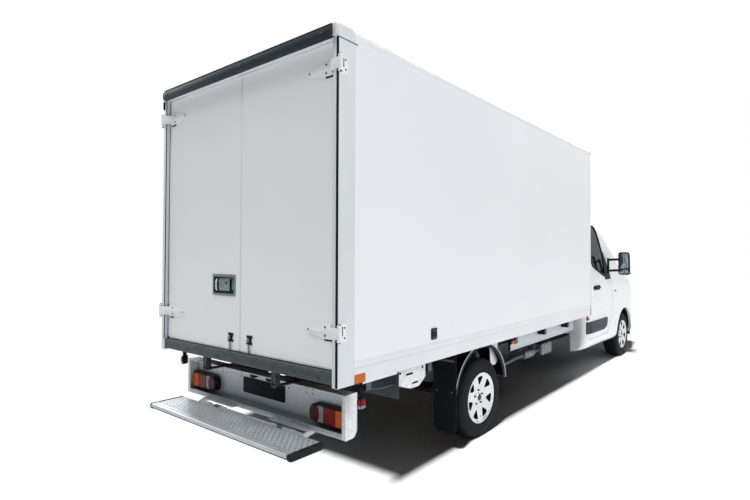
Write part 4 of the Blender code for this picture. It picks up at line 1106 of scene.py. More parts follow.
hole = cell([(0.0078, TREAD_TOP), (0.007, TREAD_TOP - 0.0022), (0.007, TREAD_TOP - 0.009)])
nub_points, nub_faces = cell([(0.0078, TREAD_TOP), (0.0066, TREAD_TOP + 0.0024), (0.0038, TREAD_TOP + 0.003)])
nub = nub_points, nub_faces + [list(range(24, 32))]
rows, columns = np.meshgrid(np.arange(ROWS), np.arange(COLUMNS), indexing="ij")
centres = np.stack([FIELD_X[0] + (rows + 0.5) * PITCH_X, FIELD_Y[0] + (columns + 0.5) * PITCH_Y,
                    rows * 0.0], -1)
punched = (rows + columns) % 2 == 0
field = join(repeat(hole, centres[punched]), repeat(nub, centres[~punched]))
# a dark sheet a little below the punched holes, so that each hole reads dark: painted shade inside the plank
hole_shade_floor = bar(FIELD_X, FIELD_Y, (TREAD_TOP - 0.0112, TREAD_TOP - 0.0085), 0, "y")
nosing = plate([(-1.94, 0.431), (-1.9385, 0.4265), (-1.934, 0.4195), (-1.886, 0.4195),
                (-1.886, TREAD_TOP + 0.0002), (-1.89, TREAD_TOP + 0.0006), (-1.929, TREAD_TOP + 0.0004),
                (-1.936, 0.4475), (-1.9395, 0.441)], "y", -0.8455, 0.8455, edge=0, corner=0.002,
               corner_steps=2)
ribs = [bar((x, x + 0.0022), (-0.8455, 0.8455), (TREAD_TOP + 0.0004, TREAD_TOP + 0.0013), 0.0004,
            "y") for x in (-1.922, -1.915, -1.908)]
front_fold = bar((-1.702, -1.69), (-0.8455, 0.8455), (TREAD_LOW, TREAD_TOP + 0.0002), 0.0015, "y")
under = bar((-1.886, -1.702), (-0.8455, 0.8455), (TREAD_LOW, TREAD_LOW + 0.004), 0, "y")
piece("tread_field", field, "tread_alloy", "step", "tread_aluminium", replaces=["step_tread"])
piece("tread_nosing", join(nosing, front_fold, *ribs), "tread_alloy", "step", "tread_aluminium")
piece("tread_backing_and_hole_shade", join(hole_shade_floor, under), "chassis_paint", "step")
edge_line = bar((-1.9397, -1.937), (-0.8455, 0.8455), (0.4215, 0.4265), 0.0008, "y")
piece("tread_edge_shadow", edge_line, "seal_rubber", "step")
cap_outline = [(-1.9315, 0.4524), (-1.9396, 0.44), (-1.9355, 0.4125), (-1.915, 0.405), (-1.7, 0.405),
               (-1.685, 0.4125), (-1.6825, 0.44), (-1.6905, 0.4524)]
caps = join(*[sided(plate(cap_outline, "y", 0.845, 0.8718, edge=0.006, corner=0.008, steps=4), side) for _,
              side in SIDES])
piece("step_end_caps", caps, "black_plastic", "step", "black_plastic")

# %% Step arms, pivot tube and springs
arms, slots = [], []
for y in (-0.52, -0.31, 0.31, 0.52):
    arms.append(plate([(-1.712, y - 0.02), (-1.655, y - 0.02), (-1.655, y + 0.02), (-1.712, y + 0.02)], "z",
                      0.4265, 0.4435, edge=0.002, corner=0.006))
    arms.append(turned([(0.0125, y - 0.022), (0.0165, y - 0.021), (0.0165, y + 0.021), (0.0125, y + 0.022)],
                       (-1.655, 0, 0.435), "y", 20, closed=True))
    slots.append(pillow((-1.708, -1.678), (y - 0.004, y + 0.004), (0.4432, 0.4442), 0.003, 3))
tube_run = tube([(-1.655, y, 0.435) for y in (-0.6392, 0.0, 0.6392)], 0.0118, 18)
piece("step_arms", join(*arms, tube_run), "bumper_zinc", "step", "galvanised")
# dark pads on top of the arms for their slots: painted shade inside them
piece("step_arm_slot_shade", join(*slots), "seal_rubber", "step")
for side_name, side in SIDES:
    turn = np.linspace(0, 2 * math.pi * 9, 9 * 12 + 1)
    coil = np.stack([-1.655 + 0.0165 * np.cos(turn), 0.365 + 0.06 * turn / turn[-1],
                     0.435 + 0.0165 * np.sin(turn)], 1)
    handed(side, "step_spring", tube(coil, 0.0022, 6, up=(0, 1, 0)), "bolt_steel", "step")
bridge_plates = [plate([(-1.64, s * 0.22), (-1.598, s * 0.22), (-1.598, s * 0.66), (-1.64, s * 0.66)], "z",
                       0.4562, 0.459, edge=0.0008, corner=0.008) for s in (-1, 1)]
piece("step_bridge_plates", join(*bridge_plates), "plate_white")
# %% [markdown]
# ## Reflectors, markers and catches
# Small parts give the box its scale: an orange reflector at the rear of the floor rail, rubber marker
# arms that fold if they are knocked, amber side markers on black brackets, and the catch that holds an
# open door.

# %% Reflectors and hanging marker lamps
for side_name, side in SIDES:
    # the reflector's finish glows faintly: painted light, as it is no lamp
    reflector = plate([(-1.63, 0.8265), (-1.54, 0.8265), (-1.54, 0.8815), (-1.63, 0.8815)], "y",
                      HALF - 0.0005, HALF + 0.004, edge=0.0015, corner=0.004)
    handed(side, "rear_reflector", reflector, "reflector_painted_glow")
    arm_path = through([(-1.59, 1.045, 0.822), (-1.588, 1.058, 0.8), (-1.58, 1.072, 0.778),
                        (-1.574, 1.084, 0.756), (-1.57, 1.082, 0.738)], 5)
    arm = tube(arm_path, np.linspace(0.018, 0.011, len(arm_path)), 12, up=(1, 0, 0))
    brace = tube([(-1.545, 1.05, 0.822), (-1.56, 1.066, 0.785), (-1.568, 1.08, 0.742)], 0.009, 10,
                 up=(1, 0, 0))
    foot_plate = plate([(-1.625, 0.815), (-1.552, 0.815), (-1.552, 0.8245), (-1.625, 0.8245)], "y", 1.032,
                       1.074, edge=0.001, corner=0.002)
    head = pillow((-1.596, -1.546), (1.064, 1.098), (0.664, 0.742), 0.014, 5)
    handed(side, "marker_arm", join(arm, brace, foot_plate, head), "seal_rubber")
    red = pillow((-1.5995, -1.59), (1.068, 1.094), (0.692, 0.728), 0.005, 4)
    red_front = pillow((-1.59, -1.552), (1.0935, 1.1005), (0.695, 0.725), 0.004, 4)
    clear = join(pillow((-1.59, -1.552), (1.0935, 1.0995), (0.669, 0.691), 0.004, 4),
                 pillow((-1.5985, -1.59), (1.068, 1.094), (0.67, 0.69), 0.004, 4))
    handed(side, "marker_red", join(red, red_front), "lens_red", slot="lamp_red")
    handed(side, "marker_clear", clear, "lens_clear", slot="lamp_clear")
    for number, x in enumerate((0.44, 2.5)):
        bracket = plate([(x - 0.03, 0.8245), (x + 0.03, 0.8245), (x + 0.012, 0.772), (x - 0.012, 0.772)],
                        "y", 1.05, 1.056, edge=0.001, corner=0.004)
        holder = pillow((x - 0.042, x + 0.042), (1.048, 1.064), (0.762, 0.798), 0.008, 4)
        handed(side, f"side_marker_body_{number}", join(bracket, holder), "black_plastic")
        amber = pillow((x - 0.036, x + 0.036), (1.058, 1.07), (0.767, 0.793), 0.006, 4)
        handed(side, f"side_marker_lens_{number}", amber, "lens_amber")
    catch_body = plate([(-0.869, 0.987), (-0.801, 0.987), (-0.801, 1.071), (-0.869, 1.071)], "y", 1.0806,
                       1.0875, edge=0.002, corner=0.01)
    jaw = join(bar((-0.862, -0.808), (1.086, 1.0915), (1.046, 1.064), 0.002, "x"),
               bar((-0.862, -0.808), (1.086, 1.0915), (0.994, 1.01), 0.002, "x"),
               tube([(-0.835, 1.0885, z) for z in (0.998, 1.028, 1.06)], 0.0028, 10, up=(1, 0, 0)))
    handed(side, "door_catch_body", catch_body, "black_plastic", slot="black_plastic",
           replaces=[f"door_catch_{side_name}"])
    handed(side, "door_catch_jaw", jaw, "grey_plastic")

# %% [markdown]
# ## Wheel arches and what hangs below
# A black plastic guard hugs each rear wheel, with a rubber flap behind it. Between the rails hang
# brackets, a silencer, wiring and the tank straps; from the side they read as a dark, busy shadow with a
# few bright bits.

# %% Mudguards and flaps
for side_name, side in SIDES:
    turn = np.radians(np.linspace(174, 6, 40))
    ribs = 0.0016 * np.cos(turn * 40)
    # section of the guard across the truck: y, outward offset; carried round the wheel as an arch
    section = np.array([(0.742, -0.01), (0.742, 0.0), (0.8, 0.0005), (0.86, 0.0015), (0.92, 0.001),
                        (0.972, 0.0), (0.98, 0.0015), (0.9865, 0.0), (0.9875, -0.006), (0.9875, -0.03),
                        (0.984, -0.032), (0.981, -0.028), (0.98, -0.011), (0.9, -0.0095), (0.82, -0.01)])
    grow = section[:, 1][None, :] + ribs[:, None] * (section[:, 1] > 0.0004)[None, :]
    arch = np.stack([(0.42 + grow) * np.cos(turn)[:, None], np.broadcast_to(section[:, 0], grow.shape),
                     0.42 + (0.4 + grow) * np.sin(turn)[:, None]], -1)
    handed(side, "mudguard_shell", loft(arch), "black_plastic", slot="black_plastic",
           replaces=[f"mudguard_{side_name}"])
    v = np.linspace(0, 1, 16)
    waist = 0.8 + 0.03 * np.clip((v - 0.93) / 0.07, 0, 1) ** 2
    outer = 1.03 - 0.03 * np.clip((v - 0.93) / 0.07, 0, 1) ** 2
    z = 0.8 - 0.63 * v
    bow = -0.4755 + 0.0015 * np.sin(v * 5)
    loop = np.stack([np.stack([bow, waist, z], 1), np.stack([bow, outer, z], 1),
                     np.stack([bow + 0.01, outer, z], 1), np.stack([bow + 0.01, waist, z], 1)], 1)
    flap_ribs = [bar((-0.4765, -0.4745), (y, y + 0.004), (0.24, 0.7), 0.0008,
                     "z") for y in np.linspace(0.83, 0.99, 8)]
    flap_bolts = [bolt((-0.4775, y, z0), head=0.009, height=0.003) for y in (0.84, 0.99) for z0 in (0.755,
            0.5)]
    handed(side, "flap", join(loft(loop), *flap_ribs), "seal_rubber")
    strip = plate([(0.815, 0.745), (1.015, 0.745), (1.015, 0.765), (0.815, 0.765)], "x", -0.4792, -0.4765,
                  edge=0.0008, corner=0.004)
    handed(side, "flap_strip", strip, "bolt_steel")
    handed(side, "flap_bolts", join(*flap_bolts), "bolt_steel")
    stays = join(tube([(-0.465, 0.97, 0.49), (-0.44, 0.97, 0.488), (-0.408, 0.97, 0.485)], 0.006, 8),
                 tube([(-0.465, 0.83, 0.49), (-0.44, 0.83, 0.488), (-0.408, 0.83, 0.485)], 0.006, 8))
    handed(side, "flap_stays", stays, "bolt_steel")

# %% Brackets under the floor
for side_name, side in SIDES:
    under_rail = bar((-1.55, -1.2), (0.985, 1.045), (0.8, 0.8245), 0.002, "x")
    hanger_plate = plate([(-1.117, 0.79), (-0.78, 0.79), (-0.78, 0.69), (-0.86, 0.634), (-0.96, 0.634),
            (-1.117, 0.69)], "y", 0.955, 0.961, edge=0.001, corner=[0.006, 0.006, 0.02, 0.02, 0.02, 0.02])
    returns = join(bar((-1.117, -1.111), (0.9, 0.961), (0.69, 0.8245), 0.001, "z"),
                   bar((-0.786, -0.78), (0.9, 0.961), (0.69, 0.8245), 0.001, "z"))
    handed(side, "box_bracket", join(under_rail, hanger_plate, returns), "plate_white", slot="white_paint")
    # dark pads for the two slots in the bracket plate, with two bolts: painted shade inside the slots
    slots = join(pillow((-1.01, -0.93), (0.96, 0.9618), (0.735, 0.751), 0.007, 4),
                 pillow((-0.94, -0.87), (0.96, 0.9618), (0.662, 0.676), 0.006, 4),
                 bolt((-1.075, 0.961, 0.765), "y", 1, 0.01, 0.005),
                 bolt((-0.82, 0.961, 0.765), "y", 1, 0.01, 0.005))
    handed(side, "box_bracket_slot_shade_and_bolts", slots, "lock_black")
    rear_shield = plate([(0.62, 0.6), (0.99, 0.6), (0.99, 0.8245), (0.62, 0.8245)], "x", -1.124, -1.119,
                        edge=0.001, corner=0.01)
    tongue = plate([(0.21, 0.8245), (0.37, 0.8245), (0.35, 0.6), (0.32, 0.577), (0.26, 0.577), (0.23, 0.6)],
                   "y", 0.93, 0.935, edge=0.001, corner=0.01)
    handed(side, "shield_plates", rear_shield, "grey_plastic")
    handed(side, "guard_tongue", tongue, "plate_white")
    face = plate([(0.755, 0.625), (2.495, 0.625), (2.495, 0.795), (0.755, 0.795)], "y", 0.8604, 0.865,
                 edge=0.0015, corner=0.01)
    folds = join(*[bar((0.77, 2.48), (0.8645, 0.8675), (z, z + 0.006), 0.001, "x") for z in (0.64, 0.772)])
    handed(side, "subframe_face", join(face, folds), "bumper_zinc", slot="galvanised")
    stay = tube(through([(-1.38, 0.93, 0.72), (-1.25, 0.94, 0.7), (-1.12, 0.95, 0.7)], 4), 0.007, 10)
    handed(side, "bracket_stay", stay, "bolt_steel")
    cross_ends = join(*[plate([(x - 0.024, 0.7155), (x + 0.024, 0.7155), (x + 0.024, 0.824),
            (x - 0.024, 0.824)], "y", 0.951, 0.956, edge=0.001, corner=0.006) for x in (-1.38, -0.72, 0.72,
            1.42, 2.1)])
    handed(side, "bearer_ends", cross_ends, "bolt_steel")

# %% Silencer, canisters, tank straps and wiring
can = turned([(0, 1.15), (0.03, 1.15), (0.044, 1.158), (0.048, 1.17), (0.048, 1.36), (0.044, 1.372),
              (0.03, 1.38), (0, 1.38)], (0, -0.8, 0.506), "x", 28)
bands = join(*[turned([(0.0485, x), (0.05, x + 0.001), (0.05, x + 0.015), (0.0485, x + 0.016)],
                      (0, -0.8, 0.506), "x", 28, closed=True) for x in (1.19, 1.32)])
piece("silencer_can", can, "silver_can")
piece("silencer_bands", bands, "bolt_steel")
canister = pillow((1.55, 1.82), (-0.86, -0.74), (0.44, 0.585), 0.03, 5)
piece("exhaust_box", canister, "silver_can")
box_ribs = join(*[pillow((x, x + 0.012), (-0.863, -0.737), (0.437, 0.588), 0.03, 5) for x in (1.6, 1.68,
        1.76)])
piece("exhaust_box_ribs", box_ribs, "bolt_steel")
pipe = tube(through([(1.38, -0.8, 0.506), (1.45, -0.8, 0.505), (1.55, -0.8, 0.51)], 5), 0.022, 14)
tail = tube(through([(1.15, -0.8, 0.506), (1.0, -0.79, 0.5), (0.8, -0.76, 0.47), (0.62, -0.74, 0.46),
                     (0.55, -0.8, 0.45), (0.52, -0.92, 0.44)], 6), 0.022, 14)
front_pipe = tube(through([(1.82, -0.8, 0.51), (1.95, -0.72, 0.5), (2.12, -0.6, 0.47), (2.3, -0.58, 0.4)],
        6), 0.024, 14)
piece("exhaust_pipes", join(pipe, tail, front_pipe), "bolt_steel")
tank_low, tank_high = span("fuel_tank")
straps = []
for x in (tank_low[0] + 0.2, tank_high[0] - 0.2):
    ring = rounded([(tank_low[1] - 0.004, tank_low[2] - 0.004), (tank_high[1] + 0.004, tank_low[2] - 0.004),
                    (tank_high[1] + 0.004, tank_high[2] + 0.004),
                    (tank_low[1] - 0.004, tank_high[2] + 0.004)], 0.045, 6)
    layers = np.stack([to_space(ring, x - 0.02, "x"), to_space(ring, x + 0.02, "x"),
                       to_space(shrunk(ring, 0.0032), x + 0.02, "x"),
                       to_space(shrunk(ring, 0.0032), x - 0.02, "x")])
    straps.append(loft(layers, caps=False, closed=True))
piece("tank_straps", join(*straps), "bolt_steel")
wires = []
for k, y in enumerate((0.56, -0.56, -0.575)):
    s = np.linspace(-1.45, 2.3, 60)
    run = np.stack([s, y + 0.006 * np.sin(s * 6 + k),
                    0.735 + 0.01 * np.sin(s * 9 + k) - 0.13 * np.clip((s - 2.0) / 0.3, 0, 1)], 1)
    wires.append(tube(run, 0.007, 6))
piece("chassis_wiring", join(*wires), "seal_rubber")

# %% [markdown]
# ## Wheels
# A tyre is a profile turned about the axle, but its tread is not round: grooves run along it and cuts run
# across. So the profile and the turn make a grid, and the grid's radius is pulled in where a groove or a
# cut is.

# %% Tyres
def tyre_surface(centre, side):
    """Radius and width offset of the section, less the groove depth, turned round the axle."""
    wall = through([(0.2068, 0.099), (0.212, 0.1045), (0.224, 0.1085), (0.245, 0.112), (0.27, 0.1122),
                    (0.295, 0.1105), (0.314, 0.106), (0.329, 0.0985), (0.338, 0.089), (0.3425, 0.078)], 3)
    grooves = np.array([-0.056, -0.02, 0.02, 0.056])
    edges = np.sort(np.concatenate([grooves + d for d in (-0.0048, -0.0036, 0.0036, 0.0048)]))[::-1]
    across = np.concatenate([[0.0715, 0.064], edges, [-0.064, -0.0715]])
    crown = TYRE_R - 0.0004 - 0.3 * across ** 2
    near = np.abs(across[:, None] - grooves[None, :]).min(1)
    tread = np.stack([crown - 0.0075 * (near < 0.004), across], 1)
    section = np.concatenate([wall, tread, wall[::-1] * (1, -1)])
    blocks = 68
    within = np.array([0.0, 0.4, 0.74, 0.79, 0.93, 0.98])
    sunk = np.array([0.0, 0.0, 0.0, 1.0, 1.0, 0.0])
    turn = ((np.arange(blocks)[:, None] + within[None, :]) / blocks * 2 * math.pi).ravel()
    r, y = section[:, 0][:, None], section[:, 1][:, None]
    shoulder = np.clip((np.abs(y) - 0.06) / 0.004, 0, 1) * (r > 0.3265)
    turned_by = turn[None, :] + 0.35 * (np.abs(y) - 0.06) * (r > 0.3265)
    radius = r - 0.0055 * np.tile(sunk, blocks)[None, :] * shoulder
    band = 0.0008 * np.exp(-((r - 0.3) / 0.004) ** 2) + 0.0008 * np.exp(-((r - 0.238) / 0.003) ** 2)
    width = (y + np.sign(y) * (band - 0.0008)) * side
    points = np.stack([radius * np.cos(turned_by), np.broadcast_to(width, radius.shape),
                       radius * np.sin(turned_by)], -1)
    return loft(points + np.array(centre), caps=False, closed=True)


def thickened(shape, move):
    """A sheet given a back: the same points moved, and a wall along every edge that only one face uses."""
    points, faces = shape
    n = len(points)
    quads = np.array(faces)
    edges = np.stack([quads, np.roll(quads, -1, 1)], -1).reshape(-1, 2)
    key, back = edges[:, 0] * n + edges[:, 1], edges[:, 1] * n + edges[:, 0]
    rim = edges[~np.isin(key, back)]
    walls = np.stack([rim[:, 1], rim[:, 0], rim[:, 0] + n, rim[:, 1] + n], 1)
    return np.concatenate([points, points + move]), faces + (quads[:, ::-1] + n).tolist() + walls.tolist()


# %% [markdown]
# The wheel cover is a thin moulding with seven windows. Its grid is bent so that two of its lines follow
# each window's sides at every radius; leaving out the faces between them cuts a clean opening, and the
# sheet is then given a back.

# %% Wheel covers
WINDOWS = 7


def cover_surface(centre, side):
    """Height by radius, crowned along each spoke; the angle is stretched to follow the windows."""
    # the last rings turn up over the bead of the tyre
    radii = np.array([0.004, 0.018, 0.03, 0.037, 0.041, 0.046, 0.054, 0.064, 0.08, 0.094, 0.106, 0.112,
                      0.122, 0.136, 0.15, 0.161, 0.169, 0.175, 0.18, 0.187, 0.194, 0.2, 0.2045]) * 1.07
    height = np.interp(radii, np.array([0, 0.03, 0.037, 0.041, 0.052, 0.064, 0.11, 0.15, 0.176, 0.188,
            0.197, 0.2045]) * 1.07, [0.0945, 0.094, 0.0915, 0.086, 0.0845, 0.086, 0.0935, 0.1, 0.103,
            0.1065, 0.1125, 0.1135])
    low, high = 0.106 * 1.07, 0.175 * 1.07
    s = np.clip((radii - low) / (high - low), 0, 1)
    half = (0.085 + 0.19 * s) * (1 - 0.42 * np.abs(2 * s - 1) ** 5)
    inside = np.linspace(-1, 1, 7)
    outside = np.linspace(0, 1, 6)[1:]
    sector = math.pi / WINDOWS
    middle = inside[None, :] * half[:, None]
    right = half[:, None] + (sector - half[:, None]) * outside[None, :]
    left = -half[:, None] - (sector - half[:, None]) * outside[None, ::-1]
    angle = np.concatenate([left[:, 1:], middle, right], 1)
    per = angle.shape[1]
    beyond = np.clip((np.abs(angle) - half[:, None]) / (sector - half[:, None]), 0, 1)
    crown = np.sin(beyond * math.pi / 2) * 0.0042 * (np.clip((radii - 0.07) / 0.03, 0,
            1) * np.clip((0.208 - radii) / 0.012, 0, 1))[:, None]
    dip = -0.003 * np.exp(-((beyond - 1) / 0.16) ** 2) * (np.clip((radii - 0.085) / 0.02, 0,
            1) * np.clip((0.192 - radii) / 0.01, 0, 1))[:, None]
    h = height[:, None] + crown + dip - 0.002
    turn = (angle[:, None, :] + (np.arange(WINDOWS) * 2 * sector + math.pi / 2)[None, :,
            None]).reshape(len(radii), -1)
    h = np.broadcast_to(h[:, None, :], (len(radii), WINDOWS, per)).reshape(len(radii), -1)
    points = np.stack([radii[:, None] * np.cos(turn), h * side, radii[:, None] * np.sin(turn)],
                      -1) + np.array(centre)
    faces = grid_faces(len(radii), per * WINDOWS)
    row, column = np.divmod(np.arange(len(faces)), per * WINDOWS)
    column = column % per
    open_rows = (radii[row] >= low - 1e-9) & (radii[np.minimum(row + 1, len(radii) - 1)] <= high + 1e-9)
    open_columns = (column >= 4) & (column < 10)
    kept = [faces[k] for k in np.flatnonzero(~(open_rows & open_columns))]
    return thickened((points.reshape(-1, 3), kept), np.array([0, -0.0032 * side, 0]))


RIM_SECTION = [(0.0, 0.045), (0.055, 0.045), (0.07, 0.058), (0.15, 0.064), (0.178, 0.058), (0.19, 0.066),
               (0.1965, 0.08), (0.2035, 0.0975), (0.213, 0.106), (0.2185, 0.1095), (0.2192, 0.111),
               (0.217, 0.1113), (0.211, 0.108), (0.2062, 0.1004), (0.2062, -0.1004), (0.219, -0.1066),
               (0.219, -0.111), (0.2, -0.102), (0.194, 0.03), (0.15, 0.05), (0.06, 0.036), (0.0, 0.036)]
for end, station in (("rear", 0.0), ("front", FRONT_AXLE)):
    for side_name, side in SIDES:
        centre_y = (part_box(f"tyre_{end}_{side_name}")[0].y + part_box(f"tyre_{end}_{side_name}")[1].y) / 2
        centre = (station, centre_y, TYRE_R)
        body = f"wheel_{end}_{side_name}"
        piece(f"tyre_shell_{end}_{side_name}", tyre_surface(centre, side), f"tyre_{end}", body,
              "tyre_rubber", replaces=[f"tyre_{end}_{side_name}"], soft_angle=30)
        rim = turned([(r, h * side) for r, h in RIM_SECTION], centre, "y", 56)
        piece(f"rim_steel_{end}_{side_name}", rim, "chassis_paint", body, replaces=[f"rim_{end}_{side_name}"])
        piece(f"wheel_cover_{end}_{side_name}", cover_surface(centre, side), "rim_silver", body,
              "wheel_silver", soft_angle=40)
        turn = np.arange(5) * 2 * math.pi / 5 + 0.3
        nuts = join(*[turned([(0, 0.0975 * side), (0.006, 0.0965 * side), (0.0085, 0.093 * side),
                (0.0085, 0.08 * side), (0, 0.08 * side)],
                (centre[0] + 0.024 * math.cos(a) * 2.6, centre_y - 0.004 * side,
                 centre[2] + 0.024 * math.sin(a) * 2.6), "y", 6) for a in turn])
        cap = turned([(0, 0.095 * side), (0.02, 0.0948 * side), (0.0285, 0.0935 * side),
                      (0.031, 0.0905 * side), (0.031, 0.085 * side), (0, 0.085 * side)], centre, "y", 32)
        valve = tube([(centre[0], centre_y + 0.084 * side, centre[2] - 0.17),
                      (centre[0], centre_y + 0.096 * side, centre[2] - 0.166),
                      (centre[0], centre_y + 0.104 * side, centre[2] - 0.163)], 0.0035, 8, up=(1, 0, 0))
        piece(f"wheel_nuts_{end}_{side_name}", nuts, "bolt_steel", body)
        piece(f"hub_badge_blank_{end}_{side_name}", cap, "grey_plastic", body)
        piece(f"tyre_valve_{end}_{side_name}", valve, "lock_black", body)

# %% Guard piping and the spare wheel
for side_name, side in SIDES:
    turn = np.radians(np.linspace(176, 4, 36))
    run = np.stack([0.4225 * np.cos(turn), turn * 0 + 0.9895, 0.42 + 0.402 * np.sin(turn)], 1)
    handed(side, "guard_piping", tube(run, 0.0045, 8, up=(0, 1, 0)), "bumper_zinc")
spare_low, spare_high = span("spare_wheel")
spare_centre = (spare_low + spare_high) / 2
upright = tyre_surface((0, 0, 0), 1)
flat_points = upright[0][:, [0, 2, 1]] * (1, 1, 0.98) + spare_centre
spare_rim = turned([(r, -h) for r, h in RIM_SECTION], (0, 0, 0), "z", 48)
piece("spare_tyre", (flat_points, upright[1]), "tyre_rear", slot="tyre_rubber", replaces=["spare_wheel"])
piece("spare_rim", (spare_rim[0] * (1, 1, 0.98) + spare_centre, spare_rim[1]), "chassis_paint")
cradle = join(bar((spare_centre[0] - 0.36, spare_centre[0] + 0.36), (-0.02, 0.02),
                  (spare_low[2] - 0.012, spare_low[2] - 0.004), 0.002, "x"),
              tube([(spare_centre[0], 0, spare_low[2] - 0.01), (spare_centre[0], 0, 0.5),
                    (spare_centre[0], 0, 0.64)], 0.01, 10, up=(1, 0, 0)))
piece("spare_cradle", cradle, "chassis_paint")
# %% [markdown]
# ## The cab's skin
# Pressed steel has no flat faces and no sharp corners. One rule gives the whole skin: at every station
# the cross-section is a superellipse, whose half-width comes from the plan and front views and whose top
# and bottom come from the side view. A point is on the skin where that rule equals one.

# %% The three views and the rule
def view_curve(points, between=8):
    """A smooth curve through view points, ready for looking up one value by the other."""
    return through(points, between)


TOP = view_curve([(2.6, 2.15), (2.625, 2.212), (2.68, 2.24), (2.85, 2.25), (3.05, 2.25), (3.26, 2.236),
                  (3.42, 2.205), (3.62, 2.105), (3.9, 1.875), (4.2, 1.62), (4.45, 1.412), (4.62, 1.34),
                  (4.8, 1.268), (4.93, 1.205), (5.02, 1.135), (5.08, 1.045), (5.12, 0.945), (5.152, 0.8),
                  (5.164, 0.69), (5.17, 0.59)])
BOTTOM = view_curve([(2.6, 0.315), (3.4, 0.308), (4.2, 0.302), (4.95, 0.3), (5.06, 0.33), (5.12, 0.372),
                     (5.155, 0.44), (5.17, 0.56)])
PLAN = view_curve([(2.6, 0.9), (2.607, 0.935), (2.63, 0.972), (2.672, 1.002), (2.74, 1.024), (2.86, 1.032),
                   (3.4, 1.033), (4.1, 1.033), (4.5, 1.028), (4.75, 1.002), (4.92, 0.95), (5.03, 0.88),
                   (5.1, 0.78), (5.14, 0.65), (5.16, 0.48), (5.17, 0.3)])
FRONT = view_curve([(0.26, 0.99), (0.36, 1.02), (0.46, 1.031), (0.8, 1.0335), (1.05, 1.031), (1.25, 1.012),
                    (1.4, 0.985), (1.6, 0.955), (1.8, 0.925), (1.95, 0.898), (2.06, 0.868), (2.16, 0.838),
                    (2.26, 0.8)])
# the nose is drawn in, so that the bumper skin stays inside the overall length
for line in (TOP, BOTTOM, PLAN):
    line[:, 0] -= 0.013 * np.clip((line[:, 0] - 4.9) / 0.27, 0, 1)
POWER = 13.0
SWEEP_BACK = 0.17


def rule(x, y, z, inset=0.0):
    """|y / half-width|^p + |(z - middle) / half-height|^p; the nose sweeps back with the square of y."""
    swept = x + SWEEP_BACK * y ** 2 * np.clip((x - 3.2) / 0.5, 0, 1)
    top = np.interp(swept, TOP[:, 0], TOP[:, 1]) - inset
    low = np.interp(x, BOTTOM[:, 0], BOTTOM[:, 1]) + inset
    middle, half = (top + low) / 2, np.maximum((top - low) / 2, 1e-4)
    wide = np.interp(x, PLAN[:, 0], PLAN[:, 1]) - inset
    at_height = np.interp(z, FRONT[:, 0], FRONT[:, 1]) - inset
    width = (wide ** -24.0 + at_height ** -24.0) ** (-1 / 24.0) * 1.012
    end = np.where(swept > TOP[-1, 0], 9.0, 0.0)
    return np.abs(y / width) ** POWER + np.abs((z - middle) / half) ** POWER + end


def meet(start, way, reach=1.6, inset=0.0):
    """Halve the distance along each ray again and again until it ends on the skin."""
    near, far = np.zeros(start.shape[:-1]), np.full(start.shape[:-1], reach)
    for _ in range(26):
        half = (near + far) / 2
        at = start + way * half[..., None]
        inside = rule(at[..., 0], at[..., 1], at[..., 2], inset) < 1
        near, far = np.where(inside, half, near), np.where(inside, far, half)
    return start + way * near[..., None]


def on_side(flat, out=0.0, inset=0.0):
    """Side-view points x, z put on the left flank, moved out by a distance."""
    start = np.stack([flat[..., 0], np.zeros(flat.shape[:-1]), flat[..., 1]], -1)
    return meet(start, np.array([0, 1.0, 0]), inset=inset) + np.array([0, 1.0, 0]) * np.asarray(out)[...,
            None]


def on_front(flat, out=0.0, inset=0.0, start_x=3.3):
    """Front-view points y, z put on the screen or the nose, moved forward by a distance."""
    start = np.stack([np.full(flat.shape[:-1], start_x), flat[..., 0], flat[..., 1]], -1)
    return meet(start, np.array([1.0, 0, 0]), 2.2, inset) + np.array([1.0, 0, 0]) * np.asarray(out)[..., None]


def on_top(flat, out=0.0, inset=0.0):
    """Plan points x, y put on the roof or the bonnet, moved up by a distance."""
    start = np.stack([flat[..., 0], flat[..., 1], np.full(flat.shape[:-1], 0.95)], -1)
    return meet(start, np.array([0, 0, 1.0]), 1.6, inset) + np.array([0, 0, 1.0]) * np.asarray(out)[..., None]


# %% [markdown]
# A door, a pane or a lamp is a panel: its outline is drawn flat, filled with ever smaller copies of
# itself, and thrown onto the skin. A second set of rings, moved inwards, makes its back. A window leaves
# a hole, and then the rings run from the hole's edge to the outline instead of to a centre.

# %% Panels on the skin
def even(loop, count):
    """The same closed outline with its points spaced evenly along it."""
    ring = np.concatenate([loop, loop[:1]])
    run = np.concatenate([[0], np.cumsum(np.linalg.norm(np.diff(ring, axis=0), axis=1))])
    at = np.linspace(0, run[-1], count, endpoint=False)
    return np.stack([np.interp(at, run, ring[:, k]) for k in range(2)], 1)


def seen_from(loop, centre, count):
    """The outline's points at equal angles about a centre, so that two outlines can be joined ray by ray."""
    dense = even(loop, 3000) - centre
    angle, reach = np.arctan2(dense[:, 1], dense[:, 0]), np.linalg.norm(dense, axis=1)
    turn = np.linspace(-math.pi, math.pi, count, endpoint=False)
    order = np.argsort(angle)
    radius = np.interp(turn, angle[order], reach[order], period=2 * math.pi)
    return centre + radius[:, None] * np.stack([np.cos(turn), np.sin(turn)], 1)


